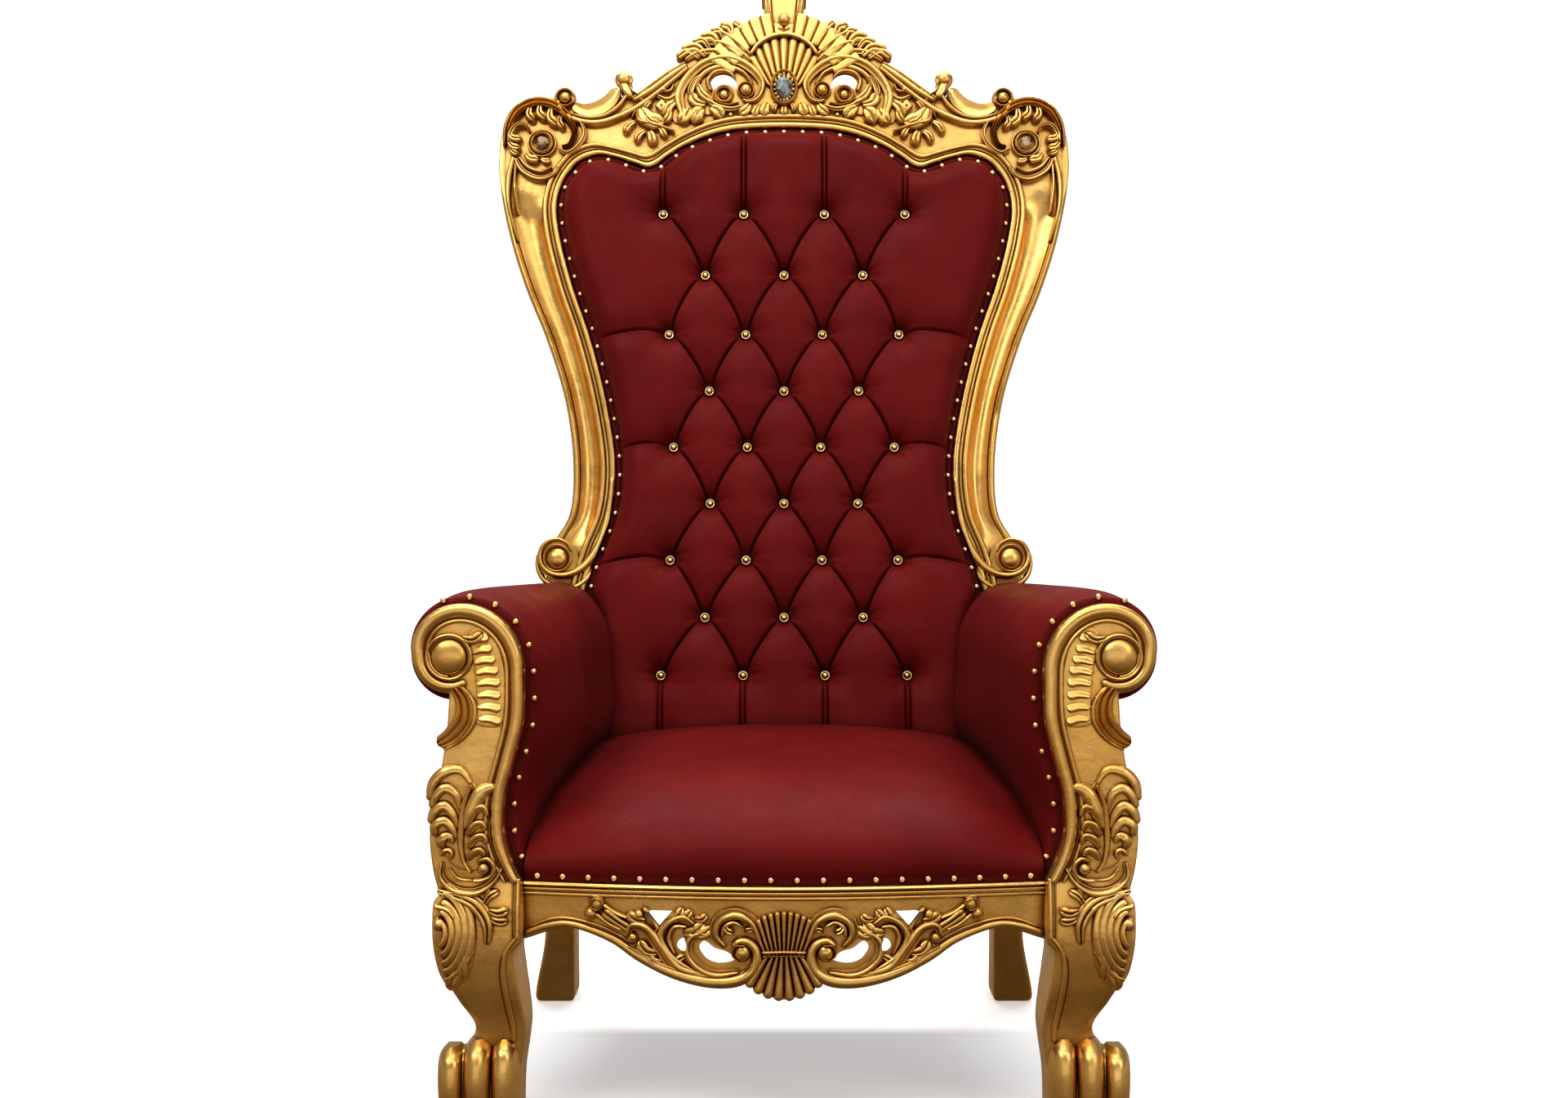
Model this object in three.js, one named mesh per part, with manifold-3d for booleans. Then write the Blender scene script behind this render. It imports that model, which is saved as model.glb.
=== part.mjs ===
// A gilded throne armchair: a carved and pierced frame, rolled leather arms, a domed seat and a tall
// buttoned back. Millimetres, +X to the right of someone facing the throne, +Y to its back, +Z up.
// Left and right are as that person sees them. Right-hand pieces are modelled, and left ones mirrored.
// While it is built, y counts from the plane of the arm facings; the whole is centred at the end.
import * as THREE from "three";
import Module from "manifold-3d";

const wasm = await Module();
wasm.setup();

// ---- Driving dimensions ----
const GAP = 0.4; // between neighbouring pieces
const RAIL_TOP = 326; // upper edge of the seat rails
const RAIL_BOTTOM = 250; // lower edge of the side and back rails
const RAIL_END = 344; // half the clear width between the front legs
const RAIL_SET_BACK = 12; // from the arm facings to the front rail's ends
const RAIL_BOW = 42; // how far the front rail's middle bows forward
const RAIL_THICK = 36;
const FACING_THICK = 24; // arm facing, in front of the arm's leather
const LEG_DEPTH = 108; // front leg at the seat rails, from front to back
const REAR_LEG = { front: 536, depth: 80, inner: 340, outer: 396, sweep: 126, splay: 14 };
const BACK_LEAN = THREE.MathUtils.degToRad(9);
const BACK_START = new THREE.Vector3(0, 529.5, 300); // origin of the leaning back's own frame
const BACK_BOTTOM = 58; // lower edge of the back's leather, up the lean
const FRAME_THICK = 55; // of the back frame, behind its front face
const BEAD_HEIGHT = 3; // of the mouldings round the leather
const FIELD_DROP = 6; // how far the frame's plain field lies below its front face
const CUSHION_ROOT = 28; // how far the tufted cushion reaches into the frame
const SCROLL = { across: 441, up: 623, radius: 48, growth: 0.22 }; // arm facing's logarithmic spiral
const ARM_PROUD = 12; // how far the arm's leather stands out round its facing
const ARM_TAPER = 49; // how far the arms close in towards the back
const SEAT_CROWN = 488;
const CREST_JEWEL = { at: [0, 1277], across: 15, up: 19, low: 2, segments: 10 };
const CORNER_JEWEL = { at: [416, 1177], across: 13, up: 13, low: 1, segments: 8 };
const STONE_RISE = 9; // from a stone's seat to its top
const STONE_SEAT_TOP = 40; // well in front of every stone

// ---- Tufting of the back: rows of four and three buttons in turn, counted from the lowest ----
const BUTTON_ROWS = 9;
const BUTTON_RADIUS = 8;
const BUTTON_LEVEL = 8; // how far the leather stands proud of the frame where a button holds it
const PUFF = 34; // how far it swells out between them
const BUTTON_LIFT = 7; // the buttons rest on the folds round them
const BUTTON_RISE = 6;

// ---- Curves and interpolation ----
const { lerp, clamp, smoothstep } = THREE.MathUtils;
const steps = (count) => Array.from({ length: count + 1 }, (_, i) => i / count);

// A smooth function through [place, value] pairs, flat beyond both ends.
function through(pairs) {
  const last = pairs.length - 1;
  const slope = (i) => {
    const before = pairs[Math.max(i - 1, 0)];
    const after = pairs[Math.min(i + 1, last)];
    return (after[1] - before[1]) / (after[0] - before[0]);
  };
  return (s) => {
    if (s <= pairs[0][0]) return pairs[0][1];
    if (s >= pairs[last][0]) return pairs[last][1];
    const i = pairs.findIndex(([place]) => place > s) - 1;
    const [s0, v0] = pairs[i];
    const [s1, v1] = pairs[i + 1];
    const h = s1 - s0;
    const t = (s - s0) / h;
    const ends = v0 * (1 + 2 * t) * (1 - t) ** 2 + v1 * t * t * (3 - 2 * t);
    return ends + slope(i) * h * t * (1 - t) ** 2 + slope(i + 1) * h * t * t * (t - 1);
  };
}

// The value at u, from 0 to 1, along evenly spaced values, or a plain number everywhere.
function along(values, u) {
  if (!Array.isArray(values)) return values;
  const s = clamp(u, 0, 1) * (values.length - 1);
  const i = Math.min(Math.floor(s), values.length - 2);
  return lerp(values[i], values[i + 1], s - i);
}

const curveOf = (points) =>
  new THREE.CatmullRomCurve3(points.map(([a, b]) => new THREE.Vector3(a, b, 0)), false, "centripetal");

const withMirror = (points) => [...points, ...points.slice(0, -1).reverse().map(([a, b]) => [-a, b])];

// Points of a spiral round a centre, between two angles counted from the right, in radians.
function spiral([a, b], from, to, startRadius, endRadius, count = 6) {
  return steps(count).map((s) => {
    const angle = lerp(from, to, s);
    const radius = startRadius * (endRadius / startRadius) ** s;
    return [a + radius * Math.cos(angle), b + radius * Math.sin(angle)];
  });
}

// ---- Solids: closed meshes that can be joined and cut ----
function solidOf(points, faces) {
  const make = (flip) =>
    new wasm.Manifold(
      new wasm.Mesh({
        numProp: 3,
        vertProperties: new Float32Array(points.flatMap((p) => [p.x, p.y, p.z])),
        triVerts: new Uint32Array(faces.flatMap(([a, b, c]) => (flip ? [a, c, b] : [a, b, c]))),
      }),
    );
  const made = make(false);
  return made.volume() > 0 ? made : make(true);
}

// Triangles over a nearly flat ring, turned the same way as the ring, or the other way.
function capOf(ring, first, reversed) {
  const middle = ring.reduce((sum, p) => sum.add(p), new THREE.Vector3()).divideScalar(ring.length);
  const spokes = ring.map((p) => p.clone().sub(middle));
  const normal = spokes.reduce(
    (sum, spoke, i) => sum.add(spoke.clone().cross(spokes[(i + 1) % spokes.length])),
    new THREE.Vector3(),
  );
  const sizes = [Math.abs(normal.x), Math.abs(normal.y), Math.abs(normal.z)];
  const axes = ["x", "y", "z"].filter((_, i) => i !== sizes.indexOf(Math.max(...sizes)));
  // Straight sides are bulged by a hair while the triangles are chosen, so that none of their points is lost.
  const flat = spokes.map((spoke) => {
    const bulge = 1 - 1e-8 * spoke.lengthSq();
    return new THREE.Vector2(spoke[axes[0]], spoke[axes[1]]).multiplyScalar(bulge);
  });
  const triangles = THREE.ShapeUtils.triangulateShape(flat, []);
  const turn = triangles.reduce(
    (sum, [a, b, c]) => sum.add(ring[b].clone().sub(ring[a]).cross(ring[c].clone().sub(ring[a]))),
    new THREE.Vector3(),
  );
  const flip = turn.dot(normal) > 0 === reversed;
  return triangles.map(([a, b, c]) => (flip ? [a, c, b] : [a, b, c]).map((i) => first + i));
}

// A closed solid through a row of rings, each with as many points as the next.
function loft(rings) {
  const count = rings[0].length;
  const faces = [];
  for (let i = 0; i + 1 < rings.length; i++)
    for (let k = 0; k < count; k++) {
      const a = i * count + k;
      const b = i * count + ((k + 1) % count);
      faces.push([a, b, b + count], [a, b + count, a + count]);
    }
  faces.push(...capOf(rings[0], 0, true));
  faces.push(...capOf(rings.at(-1), (rings.length - 1) * count, false));
  return solidOf(rings.flat(), faces);
}

const join = (solids) => solids.reduce((whole, part) => whole.add(part));
const cut = (solid, tools) => tools.reduce((left, tool) => left.subtract(tool), solid);
const inSpace = (x, y, z) => new THREE.Vector3(x, y, z);

function block(low, high, place = inSpace) {
  const corners = [[0, 0], [1, 0], [1, 1], [0, 1]];
  return loft([low[2], high[2]].map((z) =>
    corners.map(([i, j]) => place(i ? high[0] : low[0], j ? high[1] : low[1], z))));
}

// ---- Carving. Every shape lies on a surface: place(across, up, out) gives its points in space ----
const mirrored = (place) => (a, b, out) => place(-a, b, out);
const CARVING_ROOT = 13; // how far carved shapes reach under the surface that they stand on

// A ridge along a path, sharp or with a flat top, whose width and height may change along it.
function rib(path, place, { width, height, stations = 4, flat = 0, root = CARVING_ROOT }) {
  const curve = curveOf(path);
  return loft(
    steps(stations).map((u) => {
      const p = curve.getPointAt(u);
      const t = curve.getTangentAt(u);
      const half = along(width, u) / 2;
      const rise = along(height, u);
      const at = (side, out) => place(p.x - t.y * side, p.y + t.x * side, out);
      const crown = flat ? [at(half * flat, rise), at(-half * flat, rise)] : [at(0, rise)];
      return [at(half, -root), ...crown, at(-half, -root)];
    }),
  );
}

// A comma-shaped lobe from its root to its tip, bent sideways by a share of its length.
function petal(from, to, place, width, height, bend = 0.2) {
  const [dx, dy] = [to[0] - from[0], to[1] - from[1]];
  const middle = [(from[0] + to[0]) / 2 - dy * bend, (from[1] + to[1]) / 2 + dx * bend];
  return rib([from, middle, to], place, {
    width: [0.6, 1, 0.35].map((s) => s * width),
    height: [0.6, 1, 0.5].map((s) => s * height),
    stations: 2,
  });
}

// A domed boss, round or oval.
function boss([a, b], across, height, place, { up = across, segments = 7, low = -CARVING_ROOT } = {}) {
  const ring = (share, out) =>
    steps(segments)
      .slice(1)
      .map((s) => {
        const turn = 2 * Math.PI * s;
        return place(a + across * share * Math.cos(turn), b + up * share * Math.sin(turn), out);
      });
  return loft([ring(1, low), ring(1, height * 0.35), ring(0.55, height)]);
}

// Ribs that fan out from a centre, between two angles counted from the upright.
function fan([a, b], spread, [inner, outer], count, place, height, down = false) {
  const pitch = (2 * spread) / count;
  return steps(count - 1).map((s) => {
    const angle = lerp(-spread + pitch / 2, spread - pitch / 2, s);
    const sign = down ? -1 : 1;
    const end = outer(Math.abs(angle));
    const ray = (r) => [a + r * Math.sin(angle), b + sign * r * Math.cos(angle)];
    const width = [inner * pitch * 0.95, end * pitch * 0.95];
    return rib([ray(inner), ray(end)], place, { width, height, stations: 1 });
  });
}

// A plate with the given outline, between two distances out of the surface.
const plate = (outline, place, low, high) =>
  loft([low, high].map((out) => outline.map(([a, b]) => place(a, b, out))));

const bothSides = (make, place) => [...make(place), ...make(mirrored(place))];

// ---- The leaning back: x across, v up the lean, out towards the sitter ----
const onBack = (x, v, out) => new THREE.Vector3(x, -out, v);
const backMatrix = new THREE.Matrix4().makeRotationX(-BACK_LEAN).setPosition(BACK_START);
const onBackInSpace = (x, v, out) => onBack(x, v, out).applyMatrix4(backMatrix);

// Half the leather's width at a height, and the height of its upper edge at a distance across.
const SIDE_EDGE = [
  [BACK_BOTTOM, 326], [380, 329], [446, 316], [529, 288], [612, 281], [724, 298],
  [837, 328], [923, 358], [1009, 381], [1064, 388], [1106, 379], [1144, 351],
];
const TOP_EDGE = [[0, 1205], [90, 1200], [174, 1170], [230, 1133], [285, 1150], [318, 1156], [351, 1144]];
const sideEdge = through(SIDE_EDGE);
const topEdge = through(TOP_EDGE);
const [CORNER_V] = SIDE_EDGE.at(-1);

const buttonRow = through([[0, 260], [6, 834], [8, 1045]]);
const buttonPitch = through([[0, 134], [3.5, 122], [8, 137]]); // by row
const LATTICE_HALF = 2; // the diamonds reach this many pitches to either side

// Every point of the leather's front: a grid whose lines run through the buttons and the swells
// between them, so that its diagonals are the folds.
function cushionGrid() {
  const lines = [
    ...[BACK_BOTTOM, 95].map((v) => ({ v, k: 0, rise: 0 })),
    ...steps(BUTTON_ROWS - 1).map((s) => {
      const k = Math.round(s * (BUTTON_ROWS - 1));
      return { v: buttonRow(k), k, rise: 0 };
    }),
    { v: 1118, k: 8, rise: 0.75 },
    { v: CORNER_V, k: 8, rise: 1 },
  ];
  const inner = steps(4 * LATTICE_HALF).map((s) => lerp(-LATTICE_HALF, LATTICE_HALF, s));
  return lines.map(({ v, k, rise }, row) => {
    const half = sideEdge(v);
    const reach = LATTICE_HALF * buttonPitch(k);
    const rim = [0.75, 1].map((s) => lerp(reach, half, s));
    const xs = [...rim.map((x) => -x).reverse(), ...inner.map((p) => p * buttonPitch(k)), ...rim];
    const last = lines.length - 1;
    const inset = Math.min(row, last - row);
    return xs.map((x, column) => {
      const side = Math.min(column, xs.length - 1 - column);
      const level = tuftLevel(x, v, k) * along([0, 0.85, 1], Math.min(inset, side) / 2);
      return { x, v: v + rise * (topEdge(Math.abs(x)) - CORNER_V), out: level - 2 };
    });
  });
}

// How far the tufted leather stands proud of its border.
function tuftLevel(x, v, k) {
  const p = x / buttonPitch(k);
  const quilt = Math.sin(Math.PI * (p + k / 2 + 0.5)) ** 2;
  const beyond = smoothstep(Math.abs(p), 1.5, LATTICE_HALF);
  const ends = Math.max(smoothstep(buttonRow(0) - v, 0, 60), smoothstep(v - buttonRow(8), 0, 60));
  return BUTTON_LEVEL + 2 + PUFF * lerp(quilt, 0.9, Math.max(beyond, ends));
}

function outlineOf(grid) {
  const right = grid.map((line) => line.at(-1));
  const left = grid.map((line) => line[0]);
  const loop = [...right, ...grid.at(-1).slice(1, -1).reverse(), ...left.reverse(), ...grid[0].slice(1, -1)];
  return loop.map(({ x, v }) => [x, v]);
}

// The same outline, moved outwards.
function grown(outline, distance) {
  return outline.map(([x, v], i) => {
    const [x0, v0] = outline.at(i - 1);
    const [x1, v1] = outline[(i + 1) % outline.length];
    const length = Math.hypot(x1 - x0, v1 - v0);
    return [x + ((v1 - v0) / length) * distance, v - ((x1 - x0) / length) * distance];
  });
}

function backCushion(grid, place, extra = 0) {
  const width = grid[0].length;
  const points = grid.flat().map(({ x, v, out }) => place(x, v, out + extra));
  const faces = [];
  for (let i = 0; i + 1 < grid.length; i++)
    for (let j = 0; j + 1 < width; j++) {
      const [a, b, c, d] = [i * width + j, i * width + j + 1, (i + 1) * width + j + 1, (i + 1) * width + j];
      if ((i + j) % 2) faces.push([a, b, d], [b, c, d]);
      else faces.push([a, b, c], [a, c, d]);
    }
  const rows = grid.map((_, i) => i);
  const columns = grid[0].map((_, j) => j);
  const rim = [
    ...rows.map((i) => i * width + width - 1),
    ...columns.slice(1, -1).reverse().map((j) => (grid.length - 1) * width + j),
    ...rows.reverse().map((i) => i * width),
    ...columns.slice(1, -1),
  ];
  const base = points.length;
  const back = outlineOf(grid).map(([x, v]) => place(x, v, -CUSHION_ROOT));
  rim.forEach((from, i) => {
    const next = (i + 1) % rim.length;
    faces.push([from, base + i, base + next], [from, base + next, rim[next]]);
  });
  faces.push(...capOf(back, base, true));
  return solidOf([...points, ...back], faces);
}

// The cushion in space, a little larger, to cut away what it meets.
const clearOfCushion = (grid) =>
  backCushion(grid, (x, v, out) => onBackInSpace(x * 1.002, v - GAP, out), 3 * GAP);

function outsideBack(outline) {
  const middle = 640;
  const rings = [[1, -CUSHION_ROOT - GAP], [0.98, -FRAME_THICK]];
  return loft(rings.map(([share, out]) =>
    outline.map(([x, v]) => onBack(x * share, lerp(middle, v, share), out))));
}

function buttonPlaces() {
  return steps(BUTTON_ROWS - 1).flatMap((s) => {
    const k = Math.round(s * (BUTTON_ROWS - 1));
    const count = k % 2 ? 3 : 4;
    return steps(count - 1).map((_, i) => ({
      name: `button_row_${k + 1}_place_${i + 1}`,
      at: [(i - (count - 1) / 2) * buttonPitch(k), buttonRow(k)],
    }));
  });
}

// A domed button with five sides.
function button([x, v]) {
  const ring = (radius, out) =>
    steps(5).slice(1).map((s) => {
      const turn = 2 * Math.PI * s;
      return onBack(x + radius * Math.cos(turn), v + radius * Math.sin(turn), out);
    });
  const seat = BUTTON_LEVEL + BUTTON_LIFT;
  return loft([ring(BUTTON_RADIUS, seat), ring(BUTTON_RADIUS * 0.56, seat + BUTTON_RISE)]);
}

// ---- Back frame ----
// Places along the leather's edge and those that face them on the frame's outer edge, right-hand half.
const FRAME_PAIRS = [
  [[326, 20], [396, 20]], [[329, 300], [396, 300]], [[329, 395], [396, 400]], [[312, 462], [384, 478]],
  [[288, 529], [358, 529]], [[281, 612], [353, 612]], [[298, 724], [368, 722]], [[328, 837], [403, 833]],
  [[358, 923], [437, 915]], [[381, 1009], [466, 1003]], [[388, 1064], [484, 1085]],
  [[379, 1106], [490, 1150]], [[366, 1128], [480, 1212]], [[351, 1144], [436, 1256]],
  [[318, 1156], [385, 1262]], [[285, 1150], [340, 1251]], [[255, 1140], [300, 1264]],
  [[230, 1133], [262, 1264]], [[200, 1153], [210, 1299]], [[174, 1170], [172, 1322]],
  [[130, 1190], [130, 1352]], [[90, 1200], [92, 1374]], [[45, 1204], [46, 1396]], [[0, 1205], [0, 1404]],
];
const FRAME_BED = 12; // the frame's section reaches this far over the leather before it is cut back

function frameBody() {
  const [inner, outer] = [0, 1].map((which) => curveOf(withMirror(FRAME_PAIRS.map((pair) => pair[which]))));
  return loft(
    steps(40).map((u) => {
      const from = inner.getPoint(u);
      const to = outer.getPoint(u);
      const width = from.distanceTo(to);
      const across = to.clone().sub(from).normalize();
      const stile = smoothstep(to.y, 470, 560) * (1 - smoothstep(to.y, 1060, 1120));
      const at = (distance, out) => onBack(from.x + across.x * distance, from.y + across.y * distance, out);
      return [
        at(-FRAME_BED, -FRAME_THICK),
        at(-FRAME_BED, BEAD_HEIGHT),
        at(9, BEAD_HEIGHT),
        at(13, -BEAD_HEIGHT),
        at(21, BEAD_HEIGHT),
        at(27, -FIELD_DROP),
        at(lerp(27, width, 0.6), -FIELD_DROP - 8 * stile),
        at(width, -FIELD_DROP + 5 * stile),
        at(width, -FRAME_THICK),
      ];
    }),
  );
}

// Acanthus, scrolls and knob of the crest's right-hand half.
function crestCarving(place) {
  const stroke = (path, width, height, stations) => rib(path, place, { width, height, stations });
  const volute = [65, 1271];
  return [
    // shoulder scroll with its boss, its trough and the knob that ends it
    rib([[391, 1254], [380, 1231], [353, 1217], [318, 1214], [282, 1226], [215, 1271], [166, 1314]], place,
      { width: [9, 12, 11], height: 6, stations: 4 }),
    rib([[360, 1243], [330, 1238], [302, 1250], [284, 1274]], place,
      { width: [22, 30, 20], height: [7, 6, 8], stations: 3, flat: 0.7 }),
    rib([[262, 1253], [236, 1270], [205, 1294], [168, 1320]], place,
      { width: [14, 18, 14], height: 9, stations: 2 }),
    boss([378, 1259], 17, 9, place),
    boss([277, 1293], 15, 14, place, { low: -22 }),
    stroke([[279, 1290], [271, 1272], [262, 1262]], [16, 12], 8, 1),
    // great C-scroll over the piercing, curling to the volute beside the jewel
    rib([[66, 1251], [43, 1258], [38, 1283], [60, 1313], [95, 1329], [133, 1323], [163, 1299], [181, 1264],
      [174, 1226]], place, { width: [9, 14, 15, 12, 14, 17], height: [6, 10, 9, 8, 7], stations: 6 }),
    boss(volute, 11, 12, place),
    // ring beside it, with the leaves that gather under it
    boss([104, 1265], 14, 6, place),
    stroke([[68, 1243], [94, 1238], [124, 1248], [146, 1276]], [6, 10, 6], 7, 3),
    petal([134, 1246], [158, 1266], place, 17, 8, -0.25),
    petal([130, 1240], [150, 1218], place, 26, 8),
    // spray of leaves and buds that trails outwards
    stroke([[176, 1287], [184, 1264], [203, 1254], [219, 1262]], [12, 11, 7], 8, 3),
    petal([188, 1250], [205, 1226], place, 17, 7),
    petal([246, 1240], [210, 1216], place, 24, 7, 0.22),
    stroke([[254, 1238], [250, 1216], [224, 1211], [188, 1197]], [6, 9, 9, 6], 8, 3),
    petal([257, 1214], [273, 1195], place, 11, 7),
    petal([240, 1196], [253, 1179], place, 11, 7),
    petal([230, 1194], [226, 1174], place, 14, 7),
    // leaves of the crest's upper edge, outside to inside
    petal([146, 1324], [182, 1340], place, 20, 9, 0.3),
    petal([114, 1346], [142, 1370], place, 24, 9, 0.25),
    petal([82, 1366], [106, 1392], place, 17, 9, 0.3),
    stroke([[60, 1316], [96, 1344], [146, 1340]], [8, 16, 8], 7, 2),
  ];
}

// Double shell over the jewel, its bezel, and the finial.
function crestCentre(place) {
  const shell = [0, 1268];
  const arch = steps(8).map((s) => {
    const angle = lerp(-1.18, 1.18, s);
    return [62 * Math.sin(angle), 1312 + 60 * Math.cos(angle)];
  });
  return [
    ...fan(shell, 0.62, [24, (angle) => 102 - 22 * angle * angle], 5, place, 6),
    ...fan([0, 1250], 0.95, [118, (angle) => 164 - 10 * angle], 8, place, 8),
    rib(arch, place, { width: 7, height: 13, stations: 4 }),
    boss(CREST_JEWEL.at, 23, 7, place, { up: 31, segments: 10 }),
    boss([0, 1399], 11, 15, place),
    plate([[-17, 1392], [17, 1392], [22, 1442], [22, 1476], [12, 1484], [-12, 1484], [-22, 1476],
      [-22, 1442]], place, -FRAME_THICK + 16, 9),
    plate([[-31, 1400], [31, 1400], [36, 1443], [-36, 1443]], place, -FRAME_THICK + 20, 3),
    plate([[-38, 1439], [38, 1439], [38, 1449], [-38, 1449]], place, -FRAME_THICK + 18, 6),
  ];
}

// Leaves that curl round the rosette of the upper right corner.
function cornerCarving(place) {
  const stroke = (path, width, height, stations) => rib(path, place, { width, height, stations });
  return [
    rib([[473, 1186], [470, 1222], [444, 1246], [408, 1246], [378, 1226], [364, 1196], [375, 1172]], place,
      { width: [8, 20, 24, 20, 10], height: [5, 10, 10, 10, 6], stations: 5 }),
    stroke([[353, 1217], [344, 1192], [360, 1166], [384, 1164]], [6, 12, 7], 6, 3),
    stroke([[474, 1178], [468, 1200], [452, 1211], [436, 1202]], [12, 9, 6], 8, 3),
    ...[[[430, 1238], [427, 1220]], [[400, 1234], [393, 1216]], [[476, 1172], [452, 1180]],
    ].map(([from, to]) => petal(from, to, place, 13, 9, 0.25)),
    stroke([[459, 1144], [443, 1124], [414, 1113], [388, 1126]], [8, 11, 7], 8, 3),
    stroke([[462, 1150], [470, 1106], [466, 1056], [452, 1000]], [12, 9, 4], 7, 3),
    boss(CORNER_JEWEL.at, 20, 6, place, { segments: 7 }),
  ];
}

// Scroll that ends each stile above the arm.
function stileScroll(place) {
  const centre = [373, 451];
  return [
    boss(centre, 30, 2, place, { low: -FRAME_THICK, segments: 8 }),
    rib([[362, 522], [371, 493], ...spiral(centre, 1.35, -3.8, 27, 12, 6)], place,
      { width: [8, 13, 10], height: 7, stations: 5 }),
  ];
}

function backFrame(outline) {
  const hole = [[84, 1277], [92, 1291], [106, 1296], [118, 1288], [119, 1276], [104, 1284]];
  const toBack = backMatrix.clone().invert();
  const intoBack = (x, y, z) => new THREE.Vector3(x, y, z).applyMatrix4(toBack);
  const body = join([
    frameBody(),
    ...bothSides(crestCarving, onBack),
    ...bothSides(cornerCarving, onBack),
    ...bothSides(stileScroll, onBack),
    ...crestCentre(onBack),
  ]);
  return cut(body, [
    plate(grown(outline, GAP), onBack, -FRAME_THICK - 40, 60),
    plate(hole, onBack, -FRAME_THICK - 5, 40),
    plate(hole.map(([x, v]) => [-x, v]), onBack, -FRAME_THICK - 5, 40),
    stoneSeat(CREST_JEWEL, onBack),
    stoneSeat(CORNER_JEWEL, onBack),
    stoneSeat(CORNER_JEWEL, mirrored(onBack)),
    block([-700, -100, -300], [700, 1100, RAIL_TOP + GAP], intoBack),
  ]);
}

// A stone, and the hollow in its bezel that it sits in.
const jewel = ({ at, across, up, low, segments }) =>
  boss(at, across, low + STONE_RISE, onBack, { up, low: low + GAP, segments });
const stoneSeat = ({ at, across, up, low, segments }, place) =>
  boss(at, across + GAP, STONE_SEAT_TOP, place, { up: up + GAP, low, segments });

// ---- Front leg and arm facing: one carved piece ----
const FACING_INNER = [
  [344.5, RAIL_TOP], [358, 352], [368, 382], [370, 412], [367, 445], [356, 488], [344, 540],
];
const FACING_OUTER = [[441, 574], [444, 530], [451, 480], [461, 432], [467, 390], [463, 345], [455, 312]];

function scrollRim(angle, inset) {
  const radius = SCROLL.radius * Math.exp(SCROLL.growth * Math.max(angle, 0)) - inset;
  return [SCROLL.across + radius * Math.cos(angle), SCROLL.up + radius * Math.sin(angle)];
}

// Up the facing's inner edge and round its scroll, at a distance inside the edge.
const facingPath = (inset, end, count = 12) => [
  ...FACING_INNER.map(([x, z]) => [x + inset, z]),
  ...steps(count).map((s) => scrollRim(lerp(3.45, end, s), inset)),
];

const onFacing = (x, z, out) => inSpace(x, -out, z);
const legFront = through([[0, 26], [100, 18], [135, 14], [190, 0], [240, -7], [290, -5], [RAIL_TOP, 0]]);
const onLeg = (x, z, out) => new THREE.Vector3(x, legFront(z) - out, z);

function legShank() {
  const levels = [
    { z: 0, inner: 354, outer: 422, back: 98 },
    { z: 60, inner: 352, outer: 424, back: 96 },
    { z: 101, inner: 346, outer: 420, back: 92 },
    { z: 131, inner: 343, outer: 411, back: 90 },
    { z: 165, inner: 347, outer: 431, back: 95 },
    { z: 200, inner: 353, outer: 449, back: 101 },
    { z: 236, inner: 356, outer: 455, back: 105 },
    { z: 250, inner: RAIL_END + GAP, outer: 456, back: LEG_DEPTH },
    { z: RAIL_TOP, inner: RAIL_END + GAP, outer: 455, back: LEG_DEPTH },
  ];
  const bevel = 12;
  return loft(
    levels.map(({ z, inner, outer, back }) => {
      const front = legFront(z);
      return [
        [inner, front + 4], [inner + 4, front], [outer - bevel, front], [outer, front + bevel],
        [outer, back - bevel], [outer - bevel, back], [inner, back],
      ].map(([x, y]) => inSpace(x, y, z));
    }),
  );
}

const TOE_ROOT = 44; // the toes start inside the leg, this far behind the facings' plane
const PAW_FRONT = 36;

function toe(x, width, reach) {
  const levels = [[0, 0.8, 0.72], [36, 1, 0.97], [80, 0.96, 0.95], [113, 0.4, 0.35]];
  return loft(
    levels.map(([z, share, forward]) => {
      const half = (width / 2) * share;
      const tip = PAW_FRONT - reach * forward;
      const side = tip + 12;
      return [[-1, TOE_ROOT], [-1, side], [-0.5, tip], [0.5, tip], [1, side], [1, TOE_ROOT]]
        .map(([across, y]) => inSpace(x + half * across, y, z));
    }),
  );
}

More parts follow.
